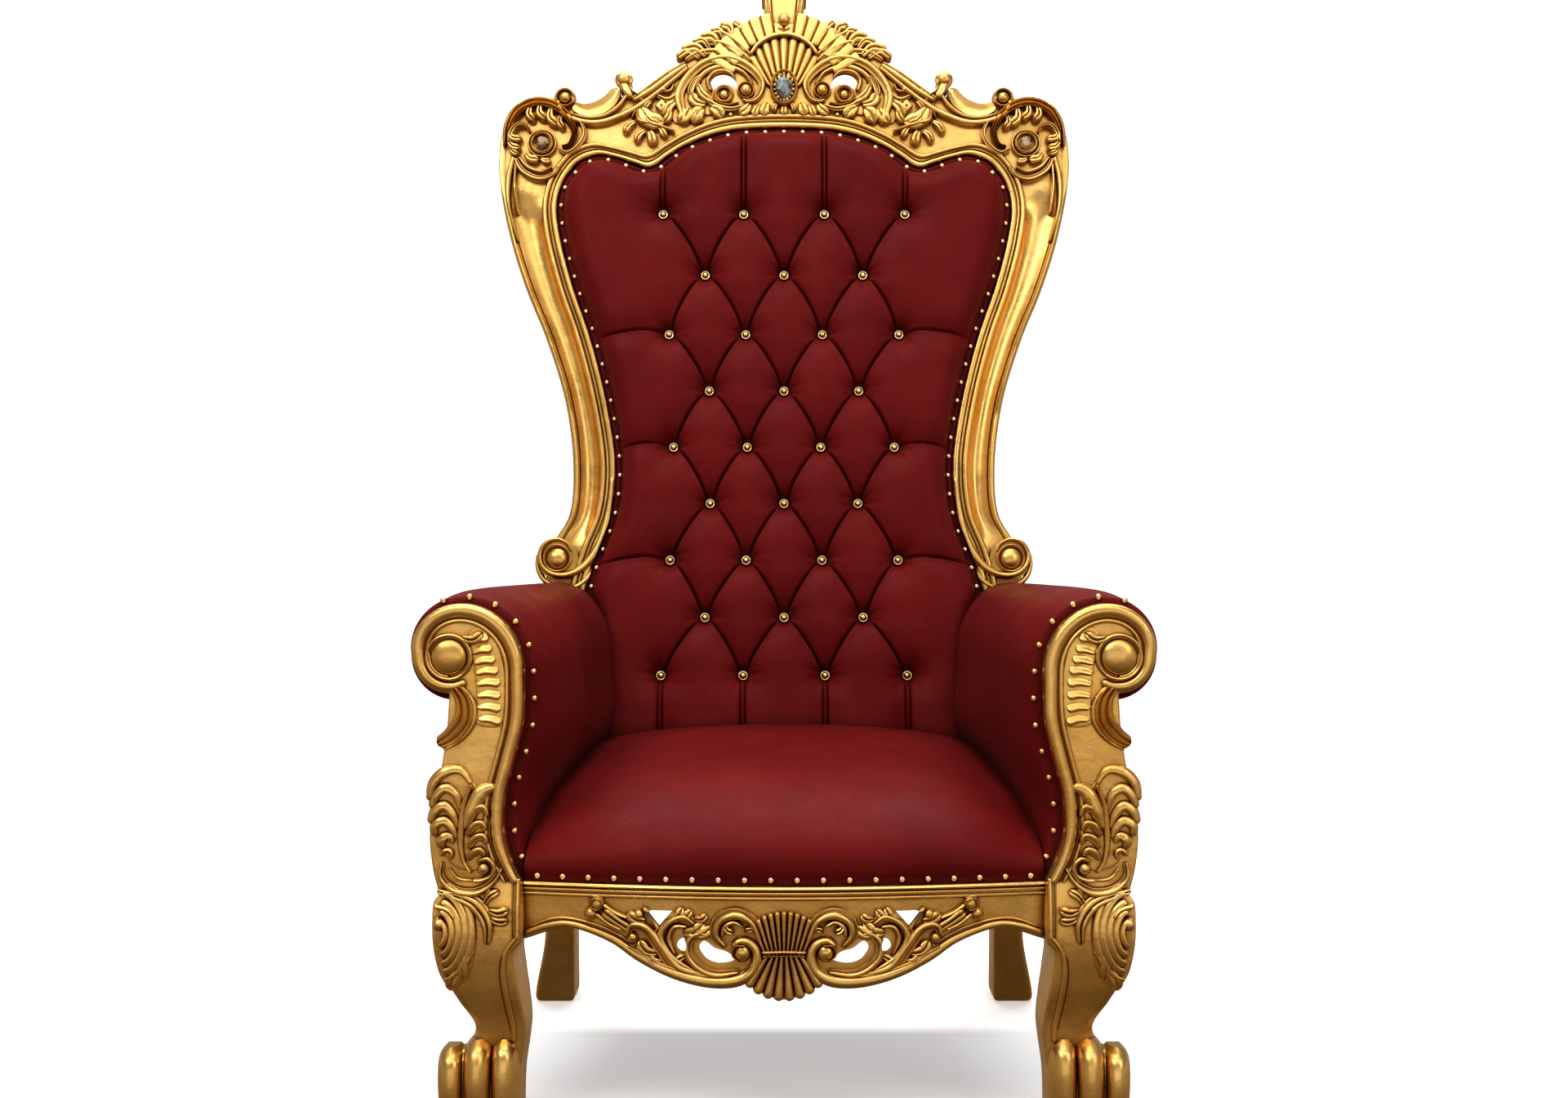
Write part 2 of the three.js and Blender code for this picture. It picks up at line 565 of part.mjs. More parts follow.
function facingCarving(place) {
  const stroke = (path, width, height, stations) => rib(path, place, { width, height, stations });
  return [
    rib(facingPath(8, -1.7), place, { width: [13, 16, 16, 15, 12], height: 6, stations: 9 }),
    boss([SCROLL.across, SCROLL.up], 24, 10, place, { segments: 7 }),
    // gadroons between the scroll's eye and its rim
    ...steps(5).map((s) => {
      const inner = [lerp(412, 401, Math.sqrt(s)), lerp(640, 545, s)];
      const outer = [lerp(384, 369, Math.sqrt(s)), lerp(643, 544, s) + 8 * Math.sin(Math.PI * s)];
      return rib([outer, inner], place, { width: [15, 9], height: [7, 4], stations: 1 });
    }),
    // three-ridged leaf under the scroll
    stroke([[428, 583], [415, 549], [434, 521], [451, 509]], [7, 13, 9], 7, 2),
    stroke([[437, 577], [427, 549], [442, 528], [453, 520]], [7, 13, 9], 7, 2),
    // outer plume of the acanthus, its rim, and the inner plume
    ...[
      [[416, 441], [457, 463]], [[427, 424], [469, 440]], [[430, 406], [473, 415]], [[434, 386], [466, 390]],
    ].map(([from, to]) => petal(from, to, place, 17, 9, -0.22)),
    stroke([[447, 476], [418, 470], [410, 444], [424, 402], [424, 362], [405, 338]], [7, 8, 11, 8], 7, 3),
    petal([414, 416], [385, 446], place, 22, 8, -0.15),
    ...[[[416, 408], [390, 421]], [[417, 391], [390, 398]], [[415, 373], [392, 376]],
    ].map(([from, to]) => petal(from, to, place, 13, 8, 0.2)),
    boss([396, 347], 10, 9, place, { segments: 6 }),
    // crescent scroll, the stem below it and its sprig
    stroke([[452, 344], [443, 322], [414, 312], [390, 324], [374, 345]], [7, 12, 12, 7], 8, 3),
    stroke([[452, 309], [424, 300], [400, 283], [390, 262], [402, 243]], [8, 12, 14, 8], 8, 3),
    petal([388, 289], [363, 286], place, 14, 8, 0),
    // drop shell: nested ridges round its hinge
    ...[20, 42].map((radius) =>
      stroke(steps(4).map((s) => {
        const angle = lerp(1.7, 4.75, s);
        return [455 + 0.92 * radius * Math.cos(angle), 258 + 1.35 * radius * Math.sin(angle)];
      }), [12, 22, 14], 9, 3)),
    boss([448, 268], 12, 9, place, { segments: 6 }),
    petal([408, 234], [424, 192], place, 17, 8, 0.15),
    // mouldings of the corner post and of the leg's inner edge
    stroke([[350, 330], [350, 290], [350, 254]], 8, 5, 1),
    stroke([[351, 256], [366, 234], [368, 200], [362, 160], [358, 122]], [6, 8, 8, 6], 4, 3),
  ];
}

function frontLeg() {
  const outline = [
    ...FACING_INNER,
    ...steps(11).map((s) => scrollRim(lerp(3.45, -1.5, s), 0)),
    ...FACING_OUTER,
  ];
  return join([
    legShank(),
    plate(outline, onFacing, -FACING_THICK, 0),
    toe(371, 32, 46),
    toe(404, 38, 54),
    toe(437, 34, 48),
    ...facingCarving(onLeg),
  ]);
}

// ---- Front seat rail, bowed, with a shell in its middle ----
const railFront = (x) => {
  const share = Math.min(Math.abs(x) / RAIL_END, 1);
  return RAIL_SET_BACK - RAIL_BOW * Math.cos((Math.PI / 2) * share);
};
const onRail = (x, z, out) => inSpace(x, railFront(x) - out, z);
const railLower = through([
  [0, 200], [53, 205], [90, 198], [140, 206], [188, 227], [226, 250], [284, 267], [RAIL_END, 250],
]);

function railCarving(place) {
  const stroke = (path, width, height, stations) => rib(path, place, { width, height, stations });
  const volute = [55, 243];
  return [
    // lower bead, rolled into the volute beside the shell
    rib([[340, 256], [284, 272], [226, 255], [188, 232], [140, 211], [90, 203], [56, 208], [38, 220],
      [33, 240], [42, 254], [56, 258], [68, 250]], place,
    { width: [10, 10, 10, 11, 13, 13, 9], height: [5, 5, 7, 9, 9], stations: 9 }),
    boss(volute, 14, 9, place, { segments: 6 }),
    stroke([[76, 251], [87, 268], [80, 284], [62, 289], [41, 280], [32, 262]], [6, 12, 10, 7], 9, 3),
    stroke([[102, 259], [117, 255], [121, 239], [110, 223], [90, 213], [60, 217]], [7, 12, 9], 8, 3),
    stroke([[92, 208], [138, 219], [160, 248], [181, 270], [199, 270], [204, 256]], [6, 12, 12, 9], 9, 3),
    stroke([[144, 230], [160, 262], [150, 279], [130, 287], [118, 277]], [6, 11, 12, 7], 8, 3),
    petal([166, 240], [186, 254], place, 13, 7, -0.2),
    petal([127, 262], [106, 277], place, 18, 7),
    stroke([[186, 268], [210, 276], [236, 292]], [15, 13, 17], 8, 2),
    boss([246, 299], 11, 8, place),
  ];
}

function frontRail() {
  const body = loft(
    steps(12).map((s) => {
      const x = lerp(-RAIL_END, RAIL_END, s);
      const low = railLower(Math.abs(x));
      return [
        [-RAIL_THICK, low], [0, low], [0, 309], [7, 314], [7, RAIL_TOP], [-RAIL_THICK, RAIL_TOP],
      ].map(([out, z]) => onRail(x, z, out));
    }),
  );
  const holes = (place) =>
    [
      [[146, 293], [179, 293], [163, 275]],
      [[128, 241], [139, 247], [133, 257]],
      [[66, 231], [84, 229], [104, 240], [103, 253], [86, 241]],
    ].map((hole) => plate(hole, place, -RAIL_THICK - 5, 25));
  const shell = [
    ...fan([0, 186], 0.41, [56, (angle) => 110 - 60 * angle * angle], 5, onRail, 9),
    ...fan([0, 288], 0.42, [46, (angle) => 111 - 60 * angle * angle], 6, onRail, 9, true),
    rib([[-28, 241], [0, 241], [28, 241]], onRail, { width: 9, height: 13, stations: 2, flat: 0.4 }),
    plate([[-30, 206], [30, 206], [20, 182], [0, 178], [-20, 182]], onRail, -RAIL_THICK + 14, 3),
  ];
  return cut(join([body, ...bothSides(railCarving, onRail), ...shell]), bothSides(holes, onRail));
}

// ---- Plain rails and rear legs ----
const sideRailOuter = (y) => lerp(448, REAR_LEG.outer, (y - LEG_DEPTH) / (REAR_LEG.front - LEG_DEPTH));

function sideRail() {
  const [front, rear] = [LEG_DEPTH + GAP, REAR_LEG.front - GAP];
  return loft(
    steps(6).map((s) => {
      const y = lerp(front, rear, s);
      const x = sideRailOuter(y) - 5;
      const low = RAIL_BOTTOM + 14 * Math.sin(Math.PI * s);
      return [[x - 30, low], [x - 2, low], [x + 2, low + 4], [x, low + 10], [x, 308], [x + 5, 311],
        [x + 5, RAIL_TOP], [x - 30, RAIL_TOP]].map(([a, z]) => new THREE.Vector3(a, y, z));
    }),
  );
}

function backRail() {
  const half = REAR_LEG.inner - GAP;
  return block([-half, REAR_LEG.front + 12, RAIL_BOTTOM], [half, REAR_LEG.front + 48, RAIL_TOP]);
}

function rearLeg() {
  const BEVEL = 8;
  const drop = through([[0, 1], [60, 0.72], [124, 0.42], [250, 0], [RAIL_TOP, 0]]);
  return loft(
    [0, 30, 60, 92, 124, 165, 205, 250, RAIL_TOP].map((z) => {
      const back = REAR_LEG.sweep * drop(z);
      const slim = 8 * Math.sin((Math.PI * clamp(z, 0, 250)) / 250);
      const inner = REAR_LEG.inner + REAR_LEG.splay * drop(z) * 0.7;
      const outer = REAR_LEG.outer + REAR_LEG.splay * drop(z) - slim;
      const [near, far] = [REAR_LEG.front + back, REAR_LEG.front + REAR_LEG.depth + back - slim];
      const flank = outer - BEVEL;
      return [
        [inner, near], [flank, near], [outer, near + BEVEL], [outer, far - BEVEL], [flank, far], [inner, far],
      ].map(([x, y]) => inSpace(x, y, z));
    }),
  );
}

// ---- Leather arms and seat ----
const armInner = through([
  [RAIL_TOP, 330], [352, 345], [380, 354], [412, 357], [445, 353], [488, 341], [540, 330],
]);
const REAR_THICKEN = 14; // further that the arms' lower inner faces stand in at the back

function armSection(y, inset) {
  const share = y / 480;
  const roll = steps(11).map((s) => scrollRim(lerp(-1.55, 3.35, s), inset - ARM_PROUD));
  const inner = [535, 480, 430, 375, RAIL_TOP + GAP].map((z) => {
    const low = smoothstep(560 - z, 0, 60);
    return [armInner(z) + inset - REAR_THICKEN * share * low, z];
  });
  const outer = [[442 - inset, RAIL_TOP + GAP], [444 - inset, 500]];
  return [...roll, ...inner, ...outer].map(([x, z]) => new THREE.Vector3(x - ARM_TAPER * share, y, z));
}

// The whole padded arm, grown by some amount, before its neighbours are cut from it. The right-hand one,
// unless its points are turned over to the left.
function roughArm(extra, turned = (point) => point) {
  const front = FACING_THICK + GAP;
  const rings = [[front, 9], [front + 4, 2], [front + 12, 0], [90, -6], [280, -7], [640, -4]];
  return loft(rings.map(([y, inset]) => armSection(y, inset - extra).map(turned)));
}

function arm(grid) {
  const behindBeads = (x, depth, v) => onBackInSpace(x, v, BEAD_HEIGHT + GAP - depth);
  const behind = block([-700, 0, -100], [700, 400, 900], behindBeads);
  const post = block([RAIL_END - 5, -20, 200], [600, LEG_DEPTH + GAP, RAIL_TOP + GAP]);
  return cut(roughArm(0), [behind, clearOfCushion(grid), post]);
}

function seat(grid) {
  const crown = through([[0, 352], [14, 386], [60, 428], [150, 463], [320, SEAT_CROWN], [520, 482]]);
  const side = through([[0, 340], [14, 352], [60, 378], [150, 412], [320, 440], [520, 456]]);
  const bottom = RAIL_TOP + GAP;
  const ring = (y, top) => {
    const bow = (RAIL_BOW - 4) * (1 - smoothstep(y, 0, 260));
    const half = lerp(RAIL_END - 2, 312, clamp(y / 520, 0, 1));
    const upper = steps(8).map((s) => {
      const across = 2 * s - 1;
      const share = 1 - Math.abs(across) ** 2.6;
      return new THREE.Vector3(half * across, y - bow * (1 - across ** 2), top(share));
    });
    const front = (across) => new THREE.Vector3(half * across, y - bow * (1 - across ** 2), bottom);
    return [...upper, front(1), front(0.5), front(-0.5), front(-1)];
  };
  const start = RAIL_SET_BACK + 6;
  const rings = [0, 8, 30, 75, 160, 320, 500].map((d) =>
    ring(start + d, (share) => lerp(side(d), crown(d), share)));
  const deck = [RAIL_TOP + 20, RAIL_TOP + 20].map((z, i) => ring(REAR_LEG.front - 6 + 54 * i, () => z));
  const overToLeft = ({ x, y, z }) => inSpace(-x, y, z);
  const arms = [roughArm(2 * GAP), roughArm(2 * GAP, overToLeft)];
  return cut(loft([...rings, ...deck]), [clearOfCushion(grid), ...arms]);
}

// ---- Pieces ----
const gold = { color: 0xc9973a, roughness: 0.32, metalness: 0.9 };
const burgundy = { color: 0x6b1518, roughness: 0.5, metalness: 0 };
const blueStone = { color: 0x8aa0aa, roughness: 0.05, metalness: 0 };
const amberStone = { color: 0x9a7434, roughness: 0.05, metalness: 0 };

function piece(name, solid, look, flip = false) {
  const { vertProperties, triVerts } = solid.getMesh();
  const positions = Float32Array.from(vertProperties, (value, i) => (flip && i % 3 === 0 ? -value : value));
  const index = Uint32Array.from(triVerts, (_, i) => triVerts[flip ? i - (i % 3) + (2 - (i % 3)) : i]);
  const geometry = new THREE.BufferGeometry();
  geometry.setAttribute("position", new THREE.BufferAttribute(positions, 3));
  geometry.setIndex(new THREE.BufferAttribute(index, 1));
  geometry.computeVertexNormals();
  const mesh = new THREE.Mesh(geometry, new THREE.MeshStandardMaterial(look));
  mesh.name = name;
  return mesh;
}

const pairOf = (name, solid, look) => [
  piece(`${name}_right`, solid, look),
  piece(`${name}_left`, solid, look, true),
];

function leaningBack(grid) {
  const outline = outlineOf(grid);
  const back = new THREE.Group();
  back.position.copy(BACK_START);
  back.rotation.x = -BACK_LEAN;
  back.add(piece("back_frame", backFrame(outline), gold));
  back.add(piece("back_cushion", backCushion(grid, onBack), burgundy));
  back.add(piece("outside_back", outsideBack(outline), burgundy));
  back.add(piece("crest_jewel", jewel(CREST_JEWEL), blueStone));
  back.add(...pairOf("corner_jewel", jewel(CORNER_JEWEL), amberStone));
  for (const { name, at } of buttonPlaces()) back.add(piece(name, button(at), gold));
  return back;
}

const throne = new THREE.Group();
const grid = cushionGrid();
throne.add(leaningBack(grid));
throne.add(...pairOf("front_leg", frontLeg(), gold));
throne.add(piece("front_rail", frontRail(), gold));
throne.add(...pairOf("side_rail", sideRail(), gold));
throne.add(piece("back_rail", backRail(), gold));
throne.add(...pairOf("rear_leg", rearLeg(), gold));
throne.add(...pairOf("arm", arm(grid), burgundy));
throne.add(piece("seat", seat(grid), burgundy));

// The origin lies on the floor, under the middle of the whole.
const extent = new THREE.Box3().setFromObject(throne, true);
throne.position.y = -(extent.min.y + extent.max.y) / 2;

export default throne;
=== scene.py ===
"""Looks of a gilded throne armchair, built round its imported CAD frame.

Shapes are worked out in millimetres, in the same places as the CAD, and turned into metres when a
mesh is made: +X to the right of someone facing the throne, +Y to its back, +Z up.
"""
import math

import bpy
import numpy as np
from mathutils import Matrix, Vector


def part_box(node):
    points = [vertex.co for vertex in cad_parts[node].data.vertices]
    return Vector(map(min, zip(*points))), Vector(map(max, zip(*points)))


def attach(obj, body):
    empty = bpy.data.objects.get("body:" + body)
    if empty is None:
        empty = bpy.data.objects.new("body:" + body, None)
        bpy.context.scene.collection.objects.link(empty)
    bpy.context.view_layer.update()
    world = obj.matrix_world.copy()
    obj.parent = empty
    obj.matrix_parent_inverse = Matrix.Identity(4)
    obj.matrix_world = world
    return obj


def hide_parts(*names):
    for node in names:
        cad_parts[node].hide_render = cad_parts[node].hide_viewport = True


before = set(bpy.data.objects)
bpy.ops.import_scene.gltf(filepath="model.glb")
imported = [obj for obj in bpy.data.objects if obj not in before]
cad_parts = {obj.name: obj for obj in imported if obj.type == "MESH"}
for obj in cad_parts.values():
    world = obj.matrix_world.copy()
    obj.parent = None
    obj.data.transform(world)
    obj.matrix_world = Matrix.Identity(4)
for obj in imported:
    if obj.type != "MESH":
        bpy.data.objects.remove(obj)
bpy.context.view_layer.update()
MM = 0.001
BODY = "root"

# ---- Driving dimensions, as in the CAD, in millimetres ----
# Levels count up from the floor, and depths back from the plane of the arm facings. On the back,
# v counts up its slope from BACK_START, and out counts from the front of its frame.
RAIL_TOP = 326
RAIL_BOTTOM = 250
RAIL_END = 344
RAIL_SET_BACK = 12
RAIL_BOW = 42
RAIL_THICK = 36
SIDE_RAIL_OUTER = 448  # where the side rails leave the front legs
FACING_THICK = 24
LEG_DEPTH = 108
REAR_LEG = {"front": 536, "depth": 80, "inner": 340, "outer": 396, "sweep": 126, "splay": 14}
REAR_LEG_TAPER = 26  # towards the foot of the back
BACK_RAIL_FRONT = REAR_LEG["front"] + 12
BACK_RAIL_THICK = 36
BACK_LEAN = math.radians(9)
BACK_START = (0, 529.5, 300)
BACK_BOTTOM = 58
OUTSIDE_BOTTOM = 36  # where the leather behind the back starts
FRAME_THICK = 55
BEAD_HEIGHT = 3
FIELD_DROP = 6  # of the flat part of the back's frame, below the beads
SCROLL = {"across": 441, "up": 623, "radius": 48, "growth": 0.22}
ARM_PROUD = 12  # of the facing's scroll
ARM_OUTER = 442
ARM_TAPER = 49  # inwards, over the taper's length
ARM_TAPER_LENGTH = 480
ARM_DEPTH = 466
SEAT_CROWN = 488
SEAT_START = RAIL_SET_BACK + 6
SEAT_BOW = RAIL_BOW - 4
SEAT_BACK_HALF = 312
CREST_JEWEL = (0, 1277)
CORNER_JEWEL = (416, 1177)
BUTTON_ROWS = 9
BUTTON_LEVEL = 8
PUFF = 34  # from the buttons' level to the fullest leather
FLAT_STRIP = 11.0  # of leather along the frame
STRIP_TO_PUFF = 40
NAIL_RADIUS = 4.3
NAIL_HEIGHT = 3.2
BACK_NAILS_FROM = 330
SEAT_NAIL_LEVEL = 332.5
GAP = 0.4  # between neighbouring pieces
ROOT = 13  # how far carved shapes reach under the surface that they stand on

# From the plane of the arm facings, where y is counted from while building, to the frame's origin.
ORIGIN_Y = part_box("back_rail")[0].y / MM - BACK_RAIL_FRONT


# ---- Curves ----
def through(pairs):
    """A smooth function through (place, value) pairs, flat beyond both ends."""
    places, values = np.array(pairs, float).T
    last = len(places) - 1
    before = np.maximum(np.arange(last + 1) - 1, 0)
    after = np.minimum(np.arange(last + 1) + 1, last)
    slopes = (values[after] - values[before]) / (places[after] - places[before])

    def at(s):
        s = np.clip(s, places[0], places[-1])
        i = np.clip(np.searchsorted(places, s, side="right") - 1, 0, last - 1)
        h = places[i + 1] - places[i]
        t = (s - places[i]) / h
        ends = values[i] * (1 + 2 * t) * (1 - t) ** 2 + values[i + 1] * t * t * (3 - 2 * t)
        return ends + slopes[i] * h * t * (1 - t) ** 2 + slopes[i + 1] * h * t * t * (t - 1)

    return at


def along(values, u):
    """The value at u, from 0 to 1, along evenly spaced values, or a plain number everywhere."""
    if np.isscalar(values):
        return np.full_like(u, values, dtype=float)
    return np.interp(u, np.linspace(0, 1, len(values)), values)


def smooth(s, low, high):
    t = np.clip((s - low) / (high - low), 0, 1)
    return t * t * (3 - 2 * t)


def catmull(points):
    """A centripetal Catmull-Rom curve, as a function of u from 0 to 1."""
    p = np.array(points, float)
    p = np.vstack([2 * p[0] - p[1], p, 2 * p[-1] - p[-2]])

    def at(u):
        s = np.clip(u, 0, 1) * (len(p) - 3)
        i = np.minimum(s.astype(int), len(p) - 4)
        t = (s - i)[:, None]
        p0, p1, p2, p3 = (p[i + j] for j in range(4))
        d0, d1, d2 = (
            np.sqrt(np.maximum(np.linalg.norm(b - a, axis=1), 1e-6))[:, None]
            for a, b in ((p0, p1), (p1, p2), (p2, p3))
        )
        leave = ((p1 - p0) / d0 - (p2 - p0) / (d0 + d1) + (p2 - p1) / d1) * d1
        arrive = ((p2 - p1) / d1 - (p3 - p1) / (d1 + d2) + (p3 - p2) / d2) * d1
        return (
            p1 * (2 * t**3 - 3 * t**2 + 1) + leave * (t**3 - 2 * t**2 + t)
            + p2 * (3 * t**2 - 2 * t**3) + arrive * (t**3 - t**2)
        )

    return at


def arc_length(points):
    """Points close together on the curve, and how far along it each lies."""
    dense = catmull(points)(np.linspace(0, 1, 24 * (len(points) - 1) + 1))
    run = np.r_[0, np.cumsum(np.linalg.norm(np.diff(dense, axis=0), axis=1))]
    return dense, run


def stations_on(points, distances):
    """Places and unit tangents at distances along the curve."""
    dense, run = arc_length(points)
    at = lambda d: np.stack([np.interp(d, run, dense[:, i]) for i in (0, 1)], 1)
    step = 0.4
    ahead = at(np.minimum(distances + step, run[-1])) - at(np.maximum(distances - step, 0))
    return at(distances), ahead / np.linalg.norm(ahead, axis=1, keepdims=True)


def with_mirror(points):
    return points + [(-a, b) for a, b in points[-2::-1]]


def full_turn(count):
    return np.linspace(0, 2 * np.pi, count, endpoint=False)


# ---- Places: surfaces that shapes lie on, from (across, up, out) to points in the frame ----
def point(x, y, z):
    return np.stack(np.broadcast_arrays(x, y, z), -1).astype(float)


def on_back(x, v, out):
    cos, sin = math.cos(BACK_LEAN), math.sin(BACK_LEAN)
    return point(x, BACK_START[1] + v * sin - out * cos + ORIGIN_Y, BACK_START[2] + v * cos + out * sin)


def in_plan(x, y, z):
    """A point whose y counts from the plane of the arm facings."""
    return point(x, np.asarray(y, float) + ORIGIN_Y, z)


leg_front = through([(0, 26), (100, 18), (135, 14), (190, 0), (240, -7), (290, -5), (RAIL_TOP, 0)])


def on_leg(x, z, out):
    return in_plan(x, leg_front(z) - out, z)


def rail_front(x):
    share = np.minimum(np.abs(x) / RAIL_END, 1)
    return RAIL_SET_BACK - RAIL_BOW * np.cos(np.pi / 2 * share)


def on_rail(x, z, out):
    return in_plan(x, rail_front(x) - out, z)


def laid(parts, place):
    """Parts drawn on the flat, as (across, up, out), laid on one of these surfaces."""
    return [(place(*points.T), faces) for points, faces in parts]


# ---- Closed shells: (points, faces) ----
def shell(rings, closed=False):
    """A closed skin through a row of rings with equally many points, capped or closed on itself."""
    rings = np.asarray(rings, float)
    rows, count = rings.shape[:2]
    i, k = np.meshgrid(np.arange(rows if closed else rows - 1), np.arange(count), indexing="ij")
    a = i * count + k
    b = i * count + (k + 1) % count
    up = ((i + 1) % rows) * count
    faces = np.stack([a, b, up + (k + 1) % count, up + k], -1).reshape(-1, 4).tolist()
    if not closed:
        faces.append(list(range(count))[::-1])
        faces.append(list(range((rows - 1) * count, rows * count)))
    return outward(rings.reshape(-1, 3), faces)


def outward(points, faces):
    """The same skin with its faces turned outwards."""
    middle = points.mean(0)
    volume = 0.0
    for face in faces:
        corners = points[face] - middle
        first = corners[:1].repeat(len(face) - 2, 0)
        volume += np.einsum("ij,ij->", np.cross(corners[1:-1], corners[2:]), first)
    return (points, faces) if volume > 0 else (points, [face[::-1] for face in faces])


def flipped(part):
    points, faces = part
    return points * [-1, 1, 1], [face[::-1] for face in faces]


def both_sides(parts):
    return parts + [flipped(part) for part in parts]


# ---- Sections of carved ridges: how high each place between the two edges stands ----
def section(rise, count):
    s = np.cos(np.linspace(0, np.pi, count))
    return np.stack([s, np.clip(rise(s), 0, None)], 1)


def ridge(s):
    """Steep on one side, and hollow down to a thin edge on the other."""
    return np.where(s > 0.5, bump(s, 0.5, 0.5), 0.12 + 0.88 * np.clip((s + 1) / 1.5, 0, 1) ** 2.2)


def bump(s, middle, half):
    return np.sqrt(np.clip(1 - ((s - middle) / half) ** 2, 0, 1))


def double(s):
    """A main ridge with a lower one beside it."""
    return np.maximum(bump(s, 0.26, 0.74), np.maximum(0.72 * bump(s, -0.7, 0.3), 0.4 * bump(s, 0, 1)))


ROUND = section(lambda s: np.sqrt(1 - s**2), 9)
FLAT = section(lambda s: np.sqrt(1 - s**6), 11)
DOUBLE = section(double, 19)
LEAF = section(lambda s: np.sqrt(1 - s**4) * (1 - 0.34 * np.exp(-((s / 0.15) ** 2))), 17)
RIPPLE = section(lambda s: np.sqrt(1 - s**4) * (0.74 + 0.26 * np.cos(3 * np.pi * s)), 19)
RIDGE = section(ridge, 15)
GUTTER = section(lambda s: np.sqrt(1 - s**10) * (0.42 + 0.58 * np.abs(s) ** 2.2), 13)
SCALLOP = section(lambda s: np.where(s > 0.45, bump(s, 0.45, 0.55), 0.25 + 0.75 * bump(s, 0.45, 1.45)), 15)


def stroke(path, width, height, profile=ROUND, root=ROOT, tips=(1, 1), pitch=3.4):
    """A carved ridge along a path. Its ends are rounded over so many half-widths."""
    length = arc_length(path)[1][-1]
    ends = [max(tip * along(width, np.array([u]))[0] / 2, 0.3) for tip, u in zip(tips, (0.0, 1.0))]
    ends = [min(end, 0.48 * length) for end in ends]
    near = np.array([0, 0.05, 0.18, 0.42, 0.72])
    body = np.linspace(ends[0], length - ends[1], max(3, int((length - sum(ends)) / pitch) + 2))
    distances = np.r_[near * ends[0], body, (length - near * ends[1])[::-1]]
    places, tangents = stations_on(path, distances)
    u = distances / length
    rounding = lambda d, end: np.sqrt(1 - (1 - np.clip(d / end, 0.02, 1)) ** 2)
    taper = rounding(distances, ends[0]) * rounding(length - distances, ends[1])
    half = along(width, u) / 2 * taper
    rise = along(height, u) * (0.3 + 0.7 * taper)
    side = np.r_[profile[:, 0], -1, 1]
    lift = np.r_[profile[:, 1], 0, 0]
    sunk = np.r_[np.zeros(len(profile)), root, root]
    x = places[:, :1] - tangents[:, 1:] * side * half[:, None]
    y = places[:, 1:] + tangents[:, :1] * side * half[:, None]
    return shell(point(x, y, lift * rise[:, None] - sunk))


def petal(start, end, width, height, bend=0.2):
    """A comma-shaped lobe from its root to its tip, bent sideways by a share of its length."""
    (x0, y0), (x1, y1) = start, end
    middle = ((x0 + x1) / 2 - (y1 - y0) * bend, (y0 + y1) / 2 + (x1 - x0) * bend)
    widths = [0.65 * width, 1.1 * width, 1.3 * width, 1.15 * width]
    heights = [0.6 * height, 0.95 * height, height, 0.75 * height]
    return stroke([start, middle, end], widths, heights, LEAF, tips=(0.6, 1.1), pitch=2.6)


def petals(*lobes):
    return [petal(*lobe) for lobe in lobes]


def ring(centre, across, up, turn, out):
    return point(centre[0] + across * np.cos(turn), centre[1] + up * np.sin(turn), out)


def dome(centre, across, height, up=None, low=-ROOT, segments=28, rings=6):
    """A domed boss, round or oval."""
    turn, tilt = full_turn(segments), np.linspace(0, 0.47 * np.pi, rings)
    shares, outs = np.r_[1, np.cos(tilt)], np.r_[low, height * np.sin(tilt)]
    return shell([ring(centre, across * s, (up or across) * s, turn, out) for s, out in zip(shares, outs)])


def ball(centre, radius, out, segments=28, rings=14):
    turn = full_turn(segments)
    return shell([
        ring(centre, radius * math.cos(tilt), radius * math.cos(tilt), turn, out + radius * math.sin(tilt))
        for tilt in np.linspace(-0.48 * np.pi, 0.48 * np.pi, rings)
    ])


def hoop(centre, radius, width, height, up=None):
    """A raised ring, round or oval."""
    side = np.r_[ROUND[:, 0], -1, 1] * width / 2
    out = np.r_[ROUND[:, 1] * height, -ROOT, -ROOT]
    rings = [ring(centre, radius + side, (up or radius) + side, a, out) for a in full_turn(44)]
    return shell(rings, closed=True)


def fan(centre, spread, start, end, count, height, down=False, profile=ROUND, tip=0.8):
    """Touching flutes that fan out from a centre, between two angles counted from the upright.

    They start and end at distances that are functions of that angle.
    """
    pitch = 2 * spread / count
    sign = -1 if down else 1
    parts = []
    for i, angle in enumerate(np.linspace(-spread + pitch / 2, spread - pitch / 2, count)):
        near, far = start(abs(angle)), end(abs(angle))
        ray = [(centre[0] + r * math.sin(angle), centre[1] + sign * r * math.cos(angle))
               for r in (near, (near + far) / 2, far)]
        widths = [1.06 * near * pitch, 1.06 * far * pitch]
        parts.append(stroke(ray, widths, height * (1 + 0.04 * (i % 2)), profile, tips=(0.3, tip), pitch=6))
    return parts


def grown(outline, distance):
    """An outline that runs anticlockwise, moved outwards."""
    points = np.array(outline, float)
    ahead = np.roll(points, -1, 0) - np.roll(points, 1, 0)
    ahead /= np.linalg.norm(ahead, axis=1, keepdims=True)
    return points + np.stack([ahead[:, 1], -ahead[:, 0]], 1) * distance


def plate(outline, low, high, bevel=0.0):
    """A plate with the given outline, between two distances out of the surface."""
    points = np.array(outline, float)
    rings = [point(*points.T, low)]
    for turn in (0, 0.4, 0.75, 1) if bevel else (1,):
        inset = grown(points, -bevel * (1 - math.cos(turn * np.pi / 2)))
        rings.append(point(*inset.T, high - bevel + bevel * math.sin(turn * np.pi / 2)))
    return shell(rings)


def rounded(corners):
    """A closed curve through some corners, with five points a side."""
    around = corners[-2:] + corners + corners[:3]
    count = len(corners)
    return catmull(around)((2 + np.arange(count * 5) / 5) / (count + 4))


